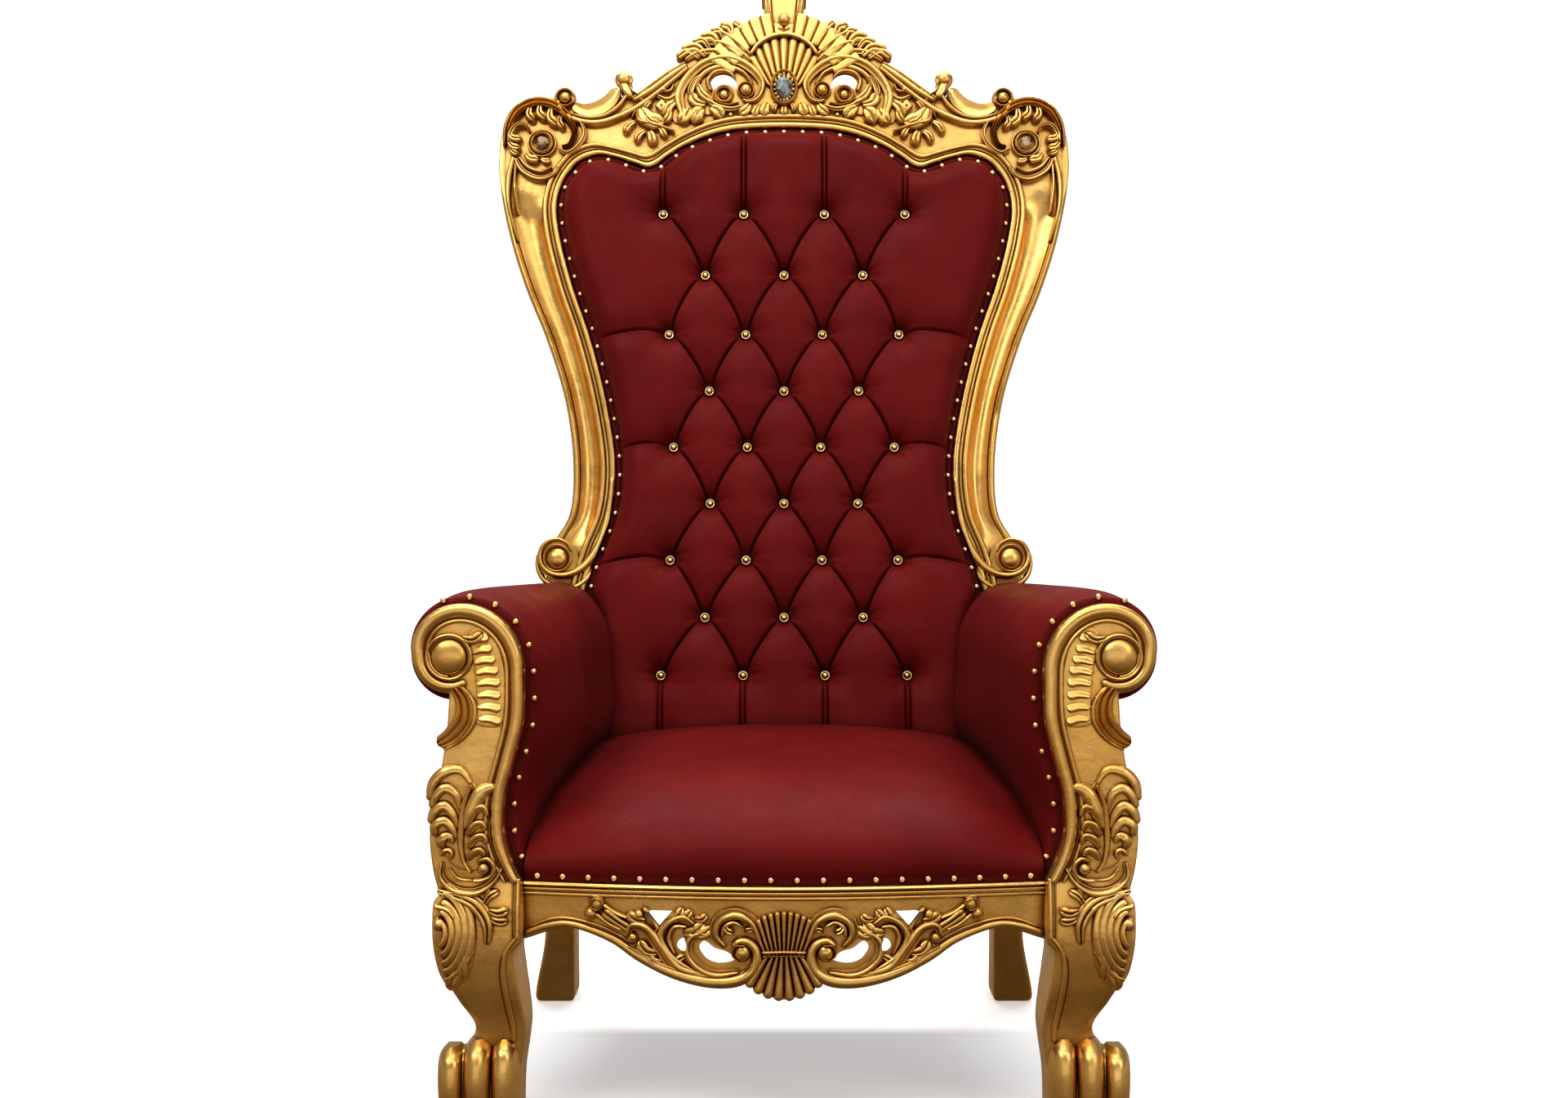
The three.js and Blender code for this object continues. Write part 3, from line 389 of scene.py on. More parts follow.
def tunnel(outline, front, back, climb):
    """A hole's shape, which widens and climbs on its way to the back."""
    points = np.array(outline, float)
    behind = grown(points, 3) + [0, climb]
    return shell([point(*points.T, front), point(*points.T, 0), point(*behind.T, back)])


def block(low, high):
    (x0, y0, z0), (x1, y1, z1) = low, high
    return shell([in_plan([x0, x1, x1, x0], [y0, y0, y1, y1], z) for z in (z0, z1)])


# ---- Blender objects ----
def mesh_of(name, part):
    points, faces = part
    mesh = bpy.data.meshes.new(name)
    mesh.from_pydata((points * MM).tolist(), [], faces)
    return mesh


def link(name, mesh):
    piece = bpy.data.objects.new(name, mesh)
    bpy.context.scene.collection.objects.link(piece)
    return piece


def shade(piece, crease=38):
    piece.data.shade_smooth()
    if crease:
        piece.data.set_sharp_from_angle(angle=math.radians(crease))
    return piece


def united(name, parts, cuts=()):
    """One piece: all the parts joined, then the cuts taken away."""
    scene = bpy.context.scene
    whole = link(name, mesh_of(name, parts[0]))
    helpers = []
    for operation, members in (("UNION", parts[1:]), ("DIFFERENCE", cuts)):
        if not members:
            continue
        group = bpy.data.collections.new(f"{name}_{operation}")
        scene.collection.children.link(group)
        for part in members:
            helper = bpy.data.objects.new("helper", mesh_of("helper", part))
            group.objects.link(helper)
            helpers.append(helper)
        step = whole.modifiers.new(operation, "BOOLEAN")
        step.operation = operation
        step.solver = "MANIFOLD"
        step.operand_type = "COLLECTION"
        step.collection = group
    graph = bpy.context.evaluated_depsgraph_get()
    made = bpy.data.meshes.new_from_object(whole.evaluated_get(graph))
    whole.modifiers.clear()
    whole.data = made
    for helper in helpers:
        bpy.data.meshes.remove(helper.data)
    for group in [c for c in bpy.data.collections if c.name.startswith(f"{name}_")]:
        bpy.data.collections.remove(group)
    return shade(whole)


def solid(name, part, crease=38):
    return shade(link(name, mesh_of(name, part)), crease)


def joined(name, parts):
    """One piece of several shells that don't meet."""
    points, faces, first = [], [], 0
    for part_points, part_faces in parts:
        points.append(part_points)
        faces += [[i + first for i in face] for face in part_faces]
        first += len(part_points)
    return solid(name, (np.vstack(points), faces))


def finished(piece, material, slot, *nodes):
    """Gives a piece its material and its body, and hides the CAD nodes that it stands for."""
    piece.data.materials.clear()
    piece.data.materials.append(material)
    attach(piece, BODY)
    if nodes:
        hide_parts(*nodes)
    return piece


# ---- Materials ----
class Shader:
    """A principled material whose nodes are added one by one."""

    def __init__(self, name):
        self.material = bpy.data.materials.new(name)
        self.material.use_nodes = True
        self.tree = self.material.node_tree
        self.place = self.add("TexCoord").outputs["Object"]

    def put(self, socket, value):
        """Links an output to the socket, or sets the socket to a number or a colour."""
        if isinstance(value, bpy.types.NodeSocket):
            self.tree.links.new(value, socket)
        else:
            socket.default_value = (*value, 1) if isinstance(value, tuple) else value

    def add(self, kind, **settings):
        node = self.tree.nodes.new("ShaderNode" + kind)
        for key, value in settings.items():
            if hasattr(node, key):
                setattr(node, key, value)
            else:
                self.put(node.inputs[key.replace("_", " ")], value)
        return node

    def noise(self, scale, detail=3.0, roughness=0.55):
        node = self.add("TexNoise", Scale=scale, Detail=detail, Roughness=roughness, Vector=self.place)
        return node.outputs["Fac"]

    def voronoi(self, scale):
        return self.add("TexVoronoi", Scale=scale, Vector=self.place).outputs["Distance"]

    def ramp(self, value, low, high, to_low=0.0, to_high=1.0):
        return self.add("MapRange", interpolation_type="SMOOTHSTEP", Value=value, From_Min=low, From_Max=high,
                        To_Min=to_low, To_Max=to_high).outputs["Result"]

    def mix(self, factor, first, second):
        node = self.add("Mix", data_type="RGBA")
        for index, value in ((0, factor), (6, first), (7, second)):
            self.put(node.inputs[index], value)
        return node.outputs[2]

    def math(self, operation, first, second):
        node = self.add("Math", operation=operation)
        self.put(node.inputs[0], first)
        self.put(node.inputs[1], second)
        return node.outputs[0]

    def bump(self, height, distance, strength, below=None):
        node = self.add("Bump", Strength=strength, Distance=distance, Height=height)
        if below:
            self.put(node.inputs["Normal"], below)
        return node.outputs["Normal"]

    def cavity(self, distance):
        """1 in the open, towards 0 in hollows narrower than the distance: the mask for the shade painted into
        hollows.
        """
        return self.add("AmbientOcclusion", samples=6, Distance=distance).outputs["AO"]

    def finish(self, **values):
        for key, value in values.items():
            self.put(self.tree.nodes["Principled BSDF"].inputs[key.replace("_", " ")], value)
        return self.material


def gilding():
    """Worn gold leaf, glazed brown and darkened with painted shade in its hollows and next to its carving."""
    look = Shader("gold_leaf")
    patches = look.ramp(look.noise(7, 5, 0.6), 0.34, 0.68)
    speck = look.ramp(look.noise(190), 0.52, 0.78)
    leaf = look.mix(patches, (0.70, 0.400, 0.100), (0.82, 0.505, 0.155))
    leaf = look.mix(look.math("MULTIPLY", speck, 0.3), leaf, (0.52, 0.24, 0.045))
    # Painted shade: within 20 mm of sheltering carving the gold turns brown, partly real glazing, partly
    # painted shade.
    hollow = look.ramp(look.cavity(0.020), 0.30, 0.90)
    # Painted shade: the narrowest crevices turn nearly black-brown, partly dark glazing, partly painted
    # shade.
    crevice_glaze_and_shade = look.ramp(look.cavity(0.0045), 0.18, 0.74)
    glaze_and_painted_shade = look.mix(hollow, (0.33, 0.155, 0.033), leaf)
    colour = look.mix(crevice_glaze_and_shade, (0.15, 0.044, 0.006), glaze_and_painted_shade)
    rough = look.ramp(look.noise(24, 5, 0.62), 0.3, 0.7, 0.25, 0.39)
    fine = look.bump(look.noise(420), 0.0004, 0.2)
    uneven = look.bump(look.noise(30), 0.005, 0.2, fine)
    return look.finish(Base_Color=colour, Metallic=1.0, Roughness=rough, Normal=uneven)


def leather():
    """Burgundy hide with a fine grain, faint wrinkles, paler rubbed places and painted shade in its hollows.
    """
    look = Shader("burgundy_leather")
    clouds = look.ramp(look.noise(4.5, 5, 0.6), 0.3, 0.72)
    rubbed = look.ramp(look.noise(14, 6, 0.68), 0.46, 0.80)
    hide = look.mix(clouds, (0.110, 0.0044, 0.0046), (0.150, 0.0066, 0.0064))
    hide = look.mix(look.math("MULTIPLY", rubbed, 0.4), hide, (0.190, 0.0140, 0.0110))
    # Painted shade: the leather goes nearly black in hollows within 28 mm, such as the buttons' dimples and
    # the folds.
    hollow = look.ramp(look.cavity(0.028), 0.25, 0.95)
    colour = look.mix(hollow, (0.030, 0.0008, 0.0010), hide)
    grain = look.voronoi(520)
    pores = look.voronoi(1150)
    skin = look.math("ADD", grain, look.math("MULTIPLY", pores, 0.5))
    wrinkle = look.noise(46, 6, 0.62)
    fine = look.bump(skin, 0.00055, 0.3)
    creased = look.bump(wrinkle, 0.004, 0.13, fine)
    rough = look.ramp(look.noise(22, 4), 0.3, 0.7, 0.40, 0.52)
    return look.finish(Base_Color=colour, Roughness=rough, Normal=creased, Specular_IOR_Level=0.045,
                       Sheen_Weight=0.02, Sheen_Roughness=0.35, Sheen_Tint=(1.0, 0.5, 0.45))


def brass():
    look = Shader("polished_brass")
    tone = look.mix(look.ramp(look.noise(60), 0.3, 0.7), (0.80, 0.55, 0.22), (0.93, 0.70, 0.34))
    # Painted shade: the brass darkens in hollows within 3 mm, such as the groove round each button's dome.
    hollow = look.ramp(look.cavity(0.003), 0.3, 0.9)
    return look.finish(Base_Color=look.mix(hollow, (0.16, 0.06, 0.012), tone), Metallic=1.0,
                       Roughness=look.ramp(look.noise(90), 0.3, 0.7, 0.16, 0.28))


def glass(name, tone, dark):
    """A cut stone, cloudy inside."""
    look = Shader(name)
    cloud = look.ramp(look.noise(90, 2), 0.44, 0.56)
    return look.finish(Base_Color=look.mix(cloud, tone, dark), Roughness=0.05, IOR=1.6,
                       Transmission_Weight=0.35, Coat_Weight=0.3, Coat_Roughness=0.02)


GOLD = gilding()
LEATHER = leather()
BRASS = brass()
BLUE_GLASS = glass("blue_glass", (0.24, 0.36, 0.40), (0.070, 0.062, 0.045))
AMBER_GLASS = glass("amber_glass", (0.55, 0.30, 0.07), (0.060, 0.024, 0.006))

# ---- Outlines of the back ----
SIDE_EDGE = [
    (BACK_BOTTOM, 326), (380, 329), (446, 316), (529, 288), (612, 281), (724, 298),
    (837, 328), (923, 358), (1009, 381), (1064, 388), (1106, 379), (1144, 351),
]
TOP_EDGE = [(0, 1205), (90, 1200), (174, 1170), (230, 1133), (285, 1150), (318, 1156), (351, 1144)]
CORNER_V = SIDE_EDGE[-1][0]
side_edge = through(SIDE_EDGE)
top_edge = through(TOP_EDGE)
button_row = through([(0, 260), (6, 834), (8, 1045)])
button_pitch = through([(0, 134), (3.5, 122), (8, 137)])

FRAME_PAIRS = [
    ((326, 20), (396, 20)), ((329, 300), (396, 300)), ((329, 395), (396, 400)), ((312, 462), (384, 478)),
    ((288, 529), (358, 529)), ((281, 612), (353, 612)), ((298, 724), (368, 722)), ((328, 837), (403, 833)),
    ((358, 923), (437, 915)), ((381, 1009), (466, 1003)), ((388, 1064), (484, 1085)),
    ((379, 1106), (490, 1150)), ((366, 1128), (480, 1212)), ((351, 1144), (436, 1256)),
    ((318, 1156), (385, 1262)), ((285, 1150), (340, 1251)), ((255, 1140), (300, 1264)),
    ((230, 1133), (262, 1264)), ((200, 1153), (210, 1299)), ((174, 1170), (172, 1322)),
    ((130, 1190), (130, 1352)), ((90, 1200), (92, 1374)), ((45, 1204), (46, 1396)), ((0, 1205), (0, 1404)),
]


def bead(start, end, base, top, count=7):
    """Points over a half-round moulding, across the frame."""
    turn = np.linspace(np.pi, 0, count)
    middle, half = (start + end) / 2, (end - start) / 2
    return [(middle + half * math.cos(a), base + (top - base) * math.sin(a)) for a in turn]


def frame_section(width, stile):
    """The frame's section, as (distance from the leather, out), for its plain and its hollow lengths."""
    inner = [(0, -FRAME_THICK), *bead(0, 10.8, -1, BEAD_HEIGHT), *bead(11.3, 15.9, -1.6, 1.4, 5),
             *bead(16.4, 26.2, -2, BEAD_HEIGHT)]
    rim = width - 12.5
    floor = [
        (27.5 + (rim - 28.5) * t, -FIELD_DROP - 9 * stile * math.sin(math.pi * min(t * 1.05, 1)) ** 0.8)
        for t in np.linspace(0, 1, 9)
    ]
    edge = bead(rim, width, -FIELD_DROP - 3.5 * stile, -FIELD_DROP + 1.2 + 5.3 * stile, 8)
    back = [(width, -18), (width, -FRAME_THICK + 9), (width - 2.6, -FRAME_THICK + 2.6),
            (width - 9, -FRAME_THICK)]
    return np.array(inner + floor + edge + back)


def frame_body():
    inner, outer = (catmull(with_mirror([pair[i] for pair in FRAME_PAIRS])) for i in (0, 1))
    u = np.linspace(0, 1, 46 * 8 + 1)
    starts, ends = inner(u), outer(u)
    rings = []
    for start, end in zip(starts, ends):
        width = np.linalg.norm(end - start)
        across = (end - start) / width
        stile = smooth(end[1], 470, 540) * (1 - smooth(end[1], 1040, 1110))
        distance, out = frame_section(width, stile).T
        rings.append(on_back(start[0] + across[0] * distance, start[1] + across[1] * distance, out))
    return shell(rings)


def shoulder_scroll():
    """The scroll over each shoulder, with its boss, its trough and the knob that ends it."""
    lower = [(391, 1254), (380, 1231), (353, 1217), (318, 1214), (282, 1226), (254, 1241), (215, 1271),
             (166, 1314)]
    trough = [(364, 1245), (346, 1236), (322, 1238), (303, 1250), (286, 1274)]
    under = [(366, 1229), (340, 1223), (312, 1226), (286, 1244), (270, 1266)]
    slope = [(262, 1253), (236, 1270), (205, 1294), (168, 1320)]
    return [
        stroke(lower, [9, 11, 12, 11, 10, 9], 7),
        stroke(trough, [16, 24, 29, 26, 18], [6, 8, 8, 9, 11], GUTTER),
        stroke(under, [5, 7, 8, 7], 5.5),
        stroke(slope, [12, 18, 18, 13], 9, DOUBLE),
        stroke([(256, 1246), (228, 1262), (196, 1286)], [4, 6, 4], 6),
        hoop((378, 1259), 15.5, 5.5, 7.5),
        dome((378, 1259), 11, 11),
        ball((277, 1293), 15.5, -3),
        stroke([(279, 1292), (273, 1274), (262, 1258)], [19, 19, 15], 8, tips=(0.3, 1)),
        stroke([(266, 1286), (263, 1272), (250, 1262)], [6, 6, 5], 9.5, tips=(0.3, 1)),
    ]


def great_scroll():
    """The C-scroll over each piercing, its volute beside the jewel, and the leaves within it."""
    path = [(72, 1256), (60, 1252), (46, 1258), (38, 1283), (60, 1313), (95, 1329), (133, 1323), (163, 1299),
            (181, 1264), (174, 1226)]
    inner = [(86, 1286), (88, 1297), (101, 1306), (120, 1304), (132, 1290), (126, 1270)]
    return [
        stroke(path, [7, 11, 15, 18, 18, 17, 18, 19, 19, 14], [7, 9, 10, 10, 9.5, 9.5, 9, 8, 7], DOUBLE,
               tips=(1, 0.5)),
        stroke([(54, 1282), (70, 1304), (98, 1315), (130, 1309), (151, 1288), (162, 1258)],
               [6, 9, 11, 10, 6], [7.5, 7.5, 7, 6]),
        dome((66, 1272), 11.5, 13),
        hoop((66, 1272), 13.5, 4, 8),
        stroke(inner, [6, 9, 9, 9, 8], [9, 9, 8, 7]),
        hoop((104, 1265), 14, 6.5, 8),
        dome((104, 1265), 8.5, 7),
        stroke([(68, 1243), (94, 1238), (124, 1248), (146, 1276)], [6, 10, 11, 7], 7.5, DOUBLE),
        stroke([(78, 1250), (98, 1246), (118, 1254), (132, 1272)], [3, 5, 5, 3], 6.5),
        *petals(((134, 1246), (160, 1268), 17, 8, -0.25), ((150, 1284), (122, 1250), 13, 10, 0.12)),
        stroke([(136, 1304), (156, 1288), (163, 1268), (152, 1251)], [5, 9, 9, 5], [6, 8, 8, 6], LEAF),
        stroke([(142, 1294), (150, 1280), (148, 1264)], [4, 7, 4], [8, 9, 7]),
        *petals(((138, 1240), (156, 1213), 24, 8, 0.12), ((128, 1243), (106, 1222), 20, 7.5, -0.12),
                ((162, 1240), (182, 1214), 18, 8, -0.1), ((28, 1250), (36, 1225), 17, 7, 0.05),
                ((58, 1248), (78, 1229), 16, 7, -0.1), ((44, 1246), (52, 1224), 12, 6, 0.05)),
        dome((92, 1228), 5, 5, segments=14, rings=4),
    ]


def spray():
    """Leaves, buds and a small flower that trail down and outwards from the great scroll."""
    return [
        stroke([(177, 1288), (183, 1266), (201, 1254), (219, 1262)], [9, 12, 11, 6], 8, DOUBLE),
        stroke([(190, 1284), (196, 1272), (208, 1270)], [4, 7, 4], 6),
        dome((208, 1274), 5.5, 7, segments=16, rings=4),
        *petals(((187, 1252), (206, 1224), 17, 8, 0.12), ((176, 1240), (180, 1212), 14, 8, -0.1),
                ((196, 1238), (206, 1214), 12, 7, -0.1), ((248, 1242), (206, 1214), 26, 8),
                ((240, 1228), (212, 1210), 12, 10, 0.15)),
        stroke([(254, 1240), (250, 1217), (226, 1211), (188, 1197)], [5, 8, 9, 8, 6], 9),
        stroke([(258, 1250), (256, 1238), (262, 1222)], [4, 5, 4], 6),
        *petals(((256, 1216), (275, 1193), 11, 8, 0.1), ((239, 1199), (255, 1177), 11, 8, 0.1),
                ((232, 1199), (226, 1172), 15, 8, -0.08), ((216, 1206), (204, 1186), 11, 7, -0.08)),
        plate([(211, 1231), (222, 1243), (211, 1255), (200, 1243)], -ROOT, 8, bevel=3),
        dome((211, 1243), 4, 11, segments=14, rings=4),
        petal((228, 1252), (240, 1236), 9, 8, 0.1),
        dome((246, 1256), 4, 6, segments=12, rings=4),
    ]


def upper_leaves():
    """The leaves of the crest's upper edge, and the sweeps that carry them."""
    sweeps = [
        ([(58, 1314), (84, 1332), (118, 1343), (150, 1339), (172, 1326)], [9, 13, 14, 12, 8], 7.5),
        ([(56, 1323), (80, 1343), (110, 1357), (134, 1360)], [8, 13, 15, 11], 8.5),
        ([(54, 1331), (76, 1353), (98, 1370), (116, 1380)], [7, 12, 15, 12], 9),
    ]
    parts = [stroke(path, width, height, DOUBLE) for path, width, height in sweeps]
    parts += petals(
        ((134, 1334), (178, 1344), 17, 9, 0.24), ((146, 1330), (186, 1331), 12, 8, 0.3),
        ((112, 1350), (146, 1368), 18, 10, 0.26), ((128, 1346), (160, 1358), 12, 9, 0.3),
        ((92, 1364), (112, 1392), 15, 10, 0.3), ((104, 1364), (128, 1380), 12, 9, 0.3),
        ((76, 1374), (88, 1398), 11, 9),
    )
    ground = [(188, 1215), (196, 1258), (190, 1300), (176, 1324), (150, 1344), (118, 1362), (90, 1372),
              (60, 1380), (20, 1384), (20, 1232), (60, 1234), (110, 1232), (150, 1226)]
    return [plate(rounded(ground), -ROOT, -1.5, bevel=1)] + parts


def knop():
    """The lobed bud that ends the finial."""
    swell = through([(1436, 17), (1446, 16.5), (1453, 20), (1463, 24.5), (1472, 23), (1480, 16), (1486, 8),
                     (1489, 3)])
    turn = full_turn(64)
    lobes = 1 - 0.13 * (1 - np.abs(np.cos(4 * turn)) ** 0.6)
    middle = (25 - FRAME_THICK) / 2
    rings = []
    for v in np.r_[1436, np.linspace(1446, 1488, 18)]:
        radius = swell(v) * (lobes if v > 1447 else 1)
        rings.append(point(radius * np.cos(turn), v, middle + radius * np.sin(turn) * 0.92))
    return shell(rings)


def crest_centre():
    """Double shell over the jewel, its bezel, and the finial."""
    arch = [(62 * math.sin(a), 1312 + 60 * math.cos(a)) for a in np.linspace(-1.2, 1.2, 13)]
    post = [(-17, 1392), (17, 1392), (22, 1442), (-22, 1442)]
    wing = [(-31, 1402), (31, 1402), (36, 1443), (-36, 1443)]
    centre = [
        *fan((0, 1238), 0.60, lambda a: 48, lambda a: 133 - 66 * a * a, 9, 6.5),
        *fan((0, 1250), 1.06, lambda a: 118 - 17 * a * a, lambda a: 168 - 12 * a, 16, 8, profile=FLAT,
             tip=0.4),
        stroke(arch, [5, 8, 8, 8, 5], 13.5, FLAT),
        plate(wing, -FRAME_THICK + 20, 3, bevel=2),
        plate(post, -FRAME_THICK + 16, 9, bevel=2.5),
        stroke([(-39, 1444), (0, 1446), (39, 1444)], 9, 8, FLAT, root=FRAME_THICK - 18, tips=(0.4, 0.4)),
        knop(),
        ball((0, 1399), 11.5, 7),
        stroke([(-12, 1384), (0, 1380), (12, 1384)], [6, 8, 6], 10),
        hoop(CREST_JEWEL, 21.5, 7, 10, up=30),
        dome(CREST_JEWEL, 19, 2.5, up=27.5, rings=4),
        petal((0, 1246), (0, 1226), 12, 6, 0),
        *both_sides([petal((10, 1250), (18, 1232), 8, 7, 0.1)]),
    ]
    wings = [stroke([(x, 1404), (x * 1.15, 1440)], [5, 7], 5.5, tips=(0.6, 0.3)) for x in (-28, -22, 22, 28)]
    return centre + wings


def claws():
    """Grains and claws that hold the crest's stone."""
    parts = []
    for i in range(18):
        turn = 2 * math.pi * (i + 0.5) / 18
        centre = (CREST_JEWEL[0] + 16.2 * math.cos(turn), CREST_JEWEL[1] - 0.5 + 24 * math.sin(turn))
        parts.append(ball(centre, 2.6 + 0.7 * (i % 3), 4.2, segments=10, rings=6))
    return parts


def corner_leaves():
    """Acanthus that curls round the rosette of the upper corners."""
    hooks = [((437, 1242), (429, 1216), 13), ((421, 1246), (408, 1219), 13), ((402, 1240), (388, 1208), 14),
             ((384, 1226), (378, 1202), 11), ((475, 1196), (450, 1184), 12), ((474, 1180), (452, 1168), 12),
             ((470, 1168), (454, 1156), 9)]
    return [
        stroke([(476, 1176), (474, 1205), (460, 1234), (430, 1250), (400, 1246), (374, 1226), (361, 1198),
                (370, 1173), (382, 1170)], [8, 15, 19, 20, 20, 18, 15, 10, 6],
               [6, 9, 10, 10, 10, 9, 8, 6], RIPPLE),
        stroke([(481, 1170), (479, 1208), (463, 1240), (432, 1257)], [5, 7, 7, 5], 9),
        stroke([(352, 1218), (343, 1196), (352, 1174), (372, 1159), (388, 1166)], [5, 8, 10, 8, 5], 7,
               DOUBLE),
        stroke([(472, 1176), (470, 1194), (460, 1208), (446, 1209), (436, 1196)], [8, 11, 10, 8, 4], 9, LEAF),
        *[petal(start, end, width, 10, 0.22) for start, end, width in hooks],
        stroke([(462, 1150), (448, 1126), (417, 1112), (392, 1122), (386, 1134)], [7, 10, 11, 8, 5], 8,
               DOUBLE),
        stroke([(456, 1152), (440, 1134), (416, 1126), (398, 1134)], [4, 6, 6, 4], 5),
        *petals(((444, 1158), (420, 1148), 13, 8), ((418, 1150), (400, 1146), 9, 6)),
        stroke([(464, 1152), (472, 1112), (470, 1064), (452, 1000)], [10, 11, 8, 4], 8),
        stroke([(460, 1144), (461, 1100), (454, 1050)], [6, 7, 4], 6),
        hoop(CORNER_JEWEL, 17.5, 6, 8),
        dome(CORNER_JEWEL, 15, 1, rings=3),
        hoop(CORNER_JEWEL, 23.5, 3.5, 3),
    ]


def stile_scroll():
    """The scroll above the arm: the stile's inner bead sweeps under the boss and winds round it."""
    centre = (375, 455)
    band = [(286, 590), (290, 545), (298, 502), (312, 466), (334, 439), (360, 427), (384, 429), (400, 443),
            (404, 463), (395, 480), (376, 487), (358, 479), (352, 466)]
    ribbon = [(408, 462), (408, 440), (398, 420), (378, 408), (354, 404), (332, 415), (314, 438), (303, 468)]
    return [
        dome(centre, 34, 1.5, low=-FRAME_THICK, rings=3, segments=44),
        stroke(ribbon, [5, 7, 8, 8, 9, 9, 8, 4], 4.5, root=FRAME_THICK - 8, tips=(0.8, 1)),
        stroke(band, [8, 9, 11, 14, 15, 15, 13, 12, 10, 9, 8, 6, 3], [4, 5, 6.5, 8, 8.5, 8.5, 8, 7.5, 7, 6]),
        hoop(centre, 22, 5, 7.5),
        dome(centre, 18.5, 11.5, segments=36, rings=8),
    ]


def cushion_outline(margin=0.0, count=60, bottom=BACK_BOTTOM):
    """The edge of the back's leather, anticlockwise, moved outwards by a margin."""
    v = np.linspace(bottom, CORNER_V, 2 * count)
    x = np.linspace(SIDE_EDGE[-1][1], -SIDE_EDGE[-1][1], count)[1:-1]
    right = np.stack([side_edge(v), v], 1)
    top = np.stack([x, top_edge(np.abs(x))], 1)
    return grown(np.vstack([right, top, right[::-1] * [-1, 1]]), margin)


def back_frame():
    hole = [(80, 1276), (94, 1283), (108, 1283), (121, 1276), (126, 1286), (119, 1297), (104, 1301),
            (90, 1296), (82, 1286)]
    side = [*shoulder_scroll(), *great_scroll(), *spray(), *upper_leaves(), *corner_leaves(), *stile_scroll()]
    opening = plate(cushion_outline(-0.6), -FRAME_THICK - 40, 60)
    piercing = tunnel(rounded(hole), 14, -FRAME_THICK - 5, 25)
    cuts = laid([opening, piercing, flipped(piercing)], on_back)
    under_rails = block((-700, -100, -300), (700, 1100, RAIL_TOP + GAP))
    parts = [frame_body(), *both_sides(laid(side, on_back)), *laid([*crest_centre(), *claws()], on_back)]
    return united("back_frame_carved", parts, [*cuts, under_rails])


# ---- Front leg and arm facing ----
FACING_INNER = [(344.5, RAIL_TOP), (358, 352), (368, 382), (370, 412), (367, 445), (356, 488), (344, 540)]
FACING_OUTER = [(441, 574), (444, 530), (451, 480), (461, 432), (467, 390), (463, 345), (455, 312)]


def scroll_rim(angle, inset):
    radius = SCROLL["radius"] * np.exp(SCROLL["growth"] * np.maximum(angle, 0)) - inset
    return SCROLL["across"] + radius * np.cos(angle), SCROLL["up"] + radius * np.sin(angle)


def facing_path(inset, end):
    """Up the facing's inner edge and round its scroll, at a distance inside the edge."""
    rim = [scroll_rim(angle, inset) for angle in np.linspace(3.45, end, 26)]
    return [(x + inset, z) for x, z in FACING_INNER] + rim


LEG_LEVELS = [
    (0, 354, 422, 98), (60, 352, 424, 96), (101, 346, 420, 92), (131, 343, 411, 90), (165, 347, 431, 95),
    (200, 353, 449, 101), (236, 356, 455, 105), (250, RAIL_END + GAP, 456, LEG_DEPTH),
    (RAIL_TOP, RAIL_END + GAP, 455, LEG_DEPTH),
]


def rounded_section(low, high, front, back, radii, per_corner=6):
    """A rectangle in plan with rounded corners, from the front left one anticlockwise."""
    corners = [((low, front), np.pi), ((high, front), 1.5 * np.pi), ((high, back), 0),
               ((low, back), 0.5 * np.pi)]
    points = []
    for ((x, y), start), radius in zip(corners, radii):
        cx = x + radius if x == low else x - radius
        cy = y + radius if y == front else y - radius
        for turn in np.linspace(0, np.pi / 2, per_corner):
            points.append((cx + radius * math.cos(start + turn), cy + radius * math.sin(start + turn)))
    return np.array(points)


def leg_shank():
    inner, outer, back = (through([(level[0], level[i]) for level in LEG_LEVELS]) for i in (1, 2, 3))
    rings = []
    for z in [*np.arange(0, 245, 5), 246, 250, 254, *np.arange(260, RAIL_TOP + 1, 6)]:
        plan = rounded_section(inner(z), outer(z), leg_front(z), back(z), (5, 15, 15, 4))
        rings.append(in_plan(plan[:, 0], plan[:, 1], z))
    return shell(rings)


def toe(x, width, reach, slant, top):
    """One toe of the paw: a thick roll that bulges forwards and tucks in below."""
    half_at = through([(0, 0.80), (0.18, 0.95), (0.49, 1.02), (0.76, 1.0), (0.91, 0.86), (1, 0.42)])
    reach_at = through([(0, 0.72), (0.18, 0.90), (0.44, 1.0), (0.70, 0.97), (0.88, 0.82), (1, 0.5)])
    side = np.linspace(0, np.pi, 21)
    rings = []
    for s in (0, 0.02, 0.06, 0.12, 0.2, 0.28, 0.37, 0.47, 0.56, 0.65, 0.74, 0.81, 0.87, 0.92, 0.95, 0.975,
              0.99, 1):
        tip = 40 + (36 - reach * reach_at(s) - 40) * np.sin(side) ** 0.62
        across = x + slant * s * top / 100 + width / 2 * half_at(s) * np.cos(side)
        rings.append(in_plan(across, tip, s * top))
    return shell(rings)


def gadroons():
    """Hollow flutes that fan round the arm scroll's boss, from its ring to the inner band."""
    parts = []
    for t in np.linspace(0, 1, 8):
        inner, outer = (
            tuple(np.interp(t, [0, 0.5, 1], values) for values in ends)
            for ends in (([414, 407, 403], [643, 596, 543]), ([388, 373, 371], [651, 600, 540]))
        )
        path = [inner, ((inner[0] + outer[0]) / 2, (inner[1] + outer[1]) / 2 + 3), outer]
        parts.append(stroke(path, [13, 18, 20], [4, 6.5, 8], RIDGE, tips=(0.8, 0.5), pitch=2.6))
    ground = [(415, 655), (392, 664), (377, 640), (367, 600), (364, 536), (404, 534), (404, 560),
              (406, 600), (411, 630)]
    return parts + [plate(rounded(ground), -ROOT, 1.6, bevel=1.2)]


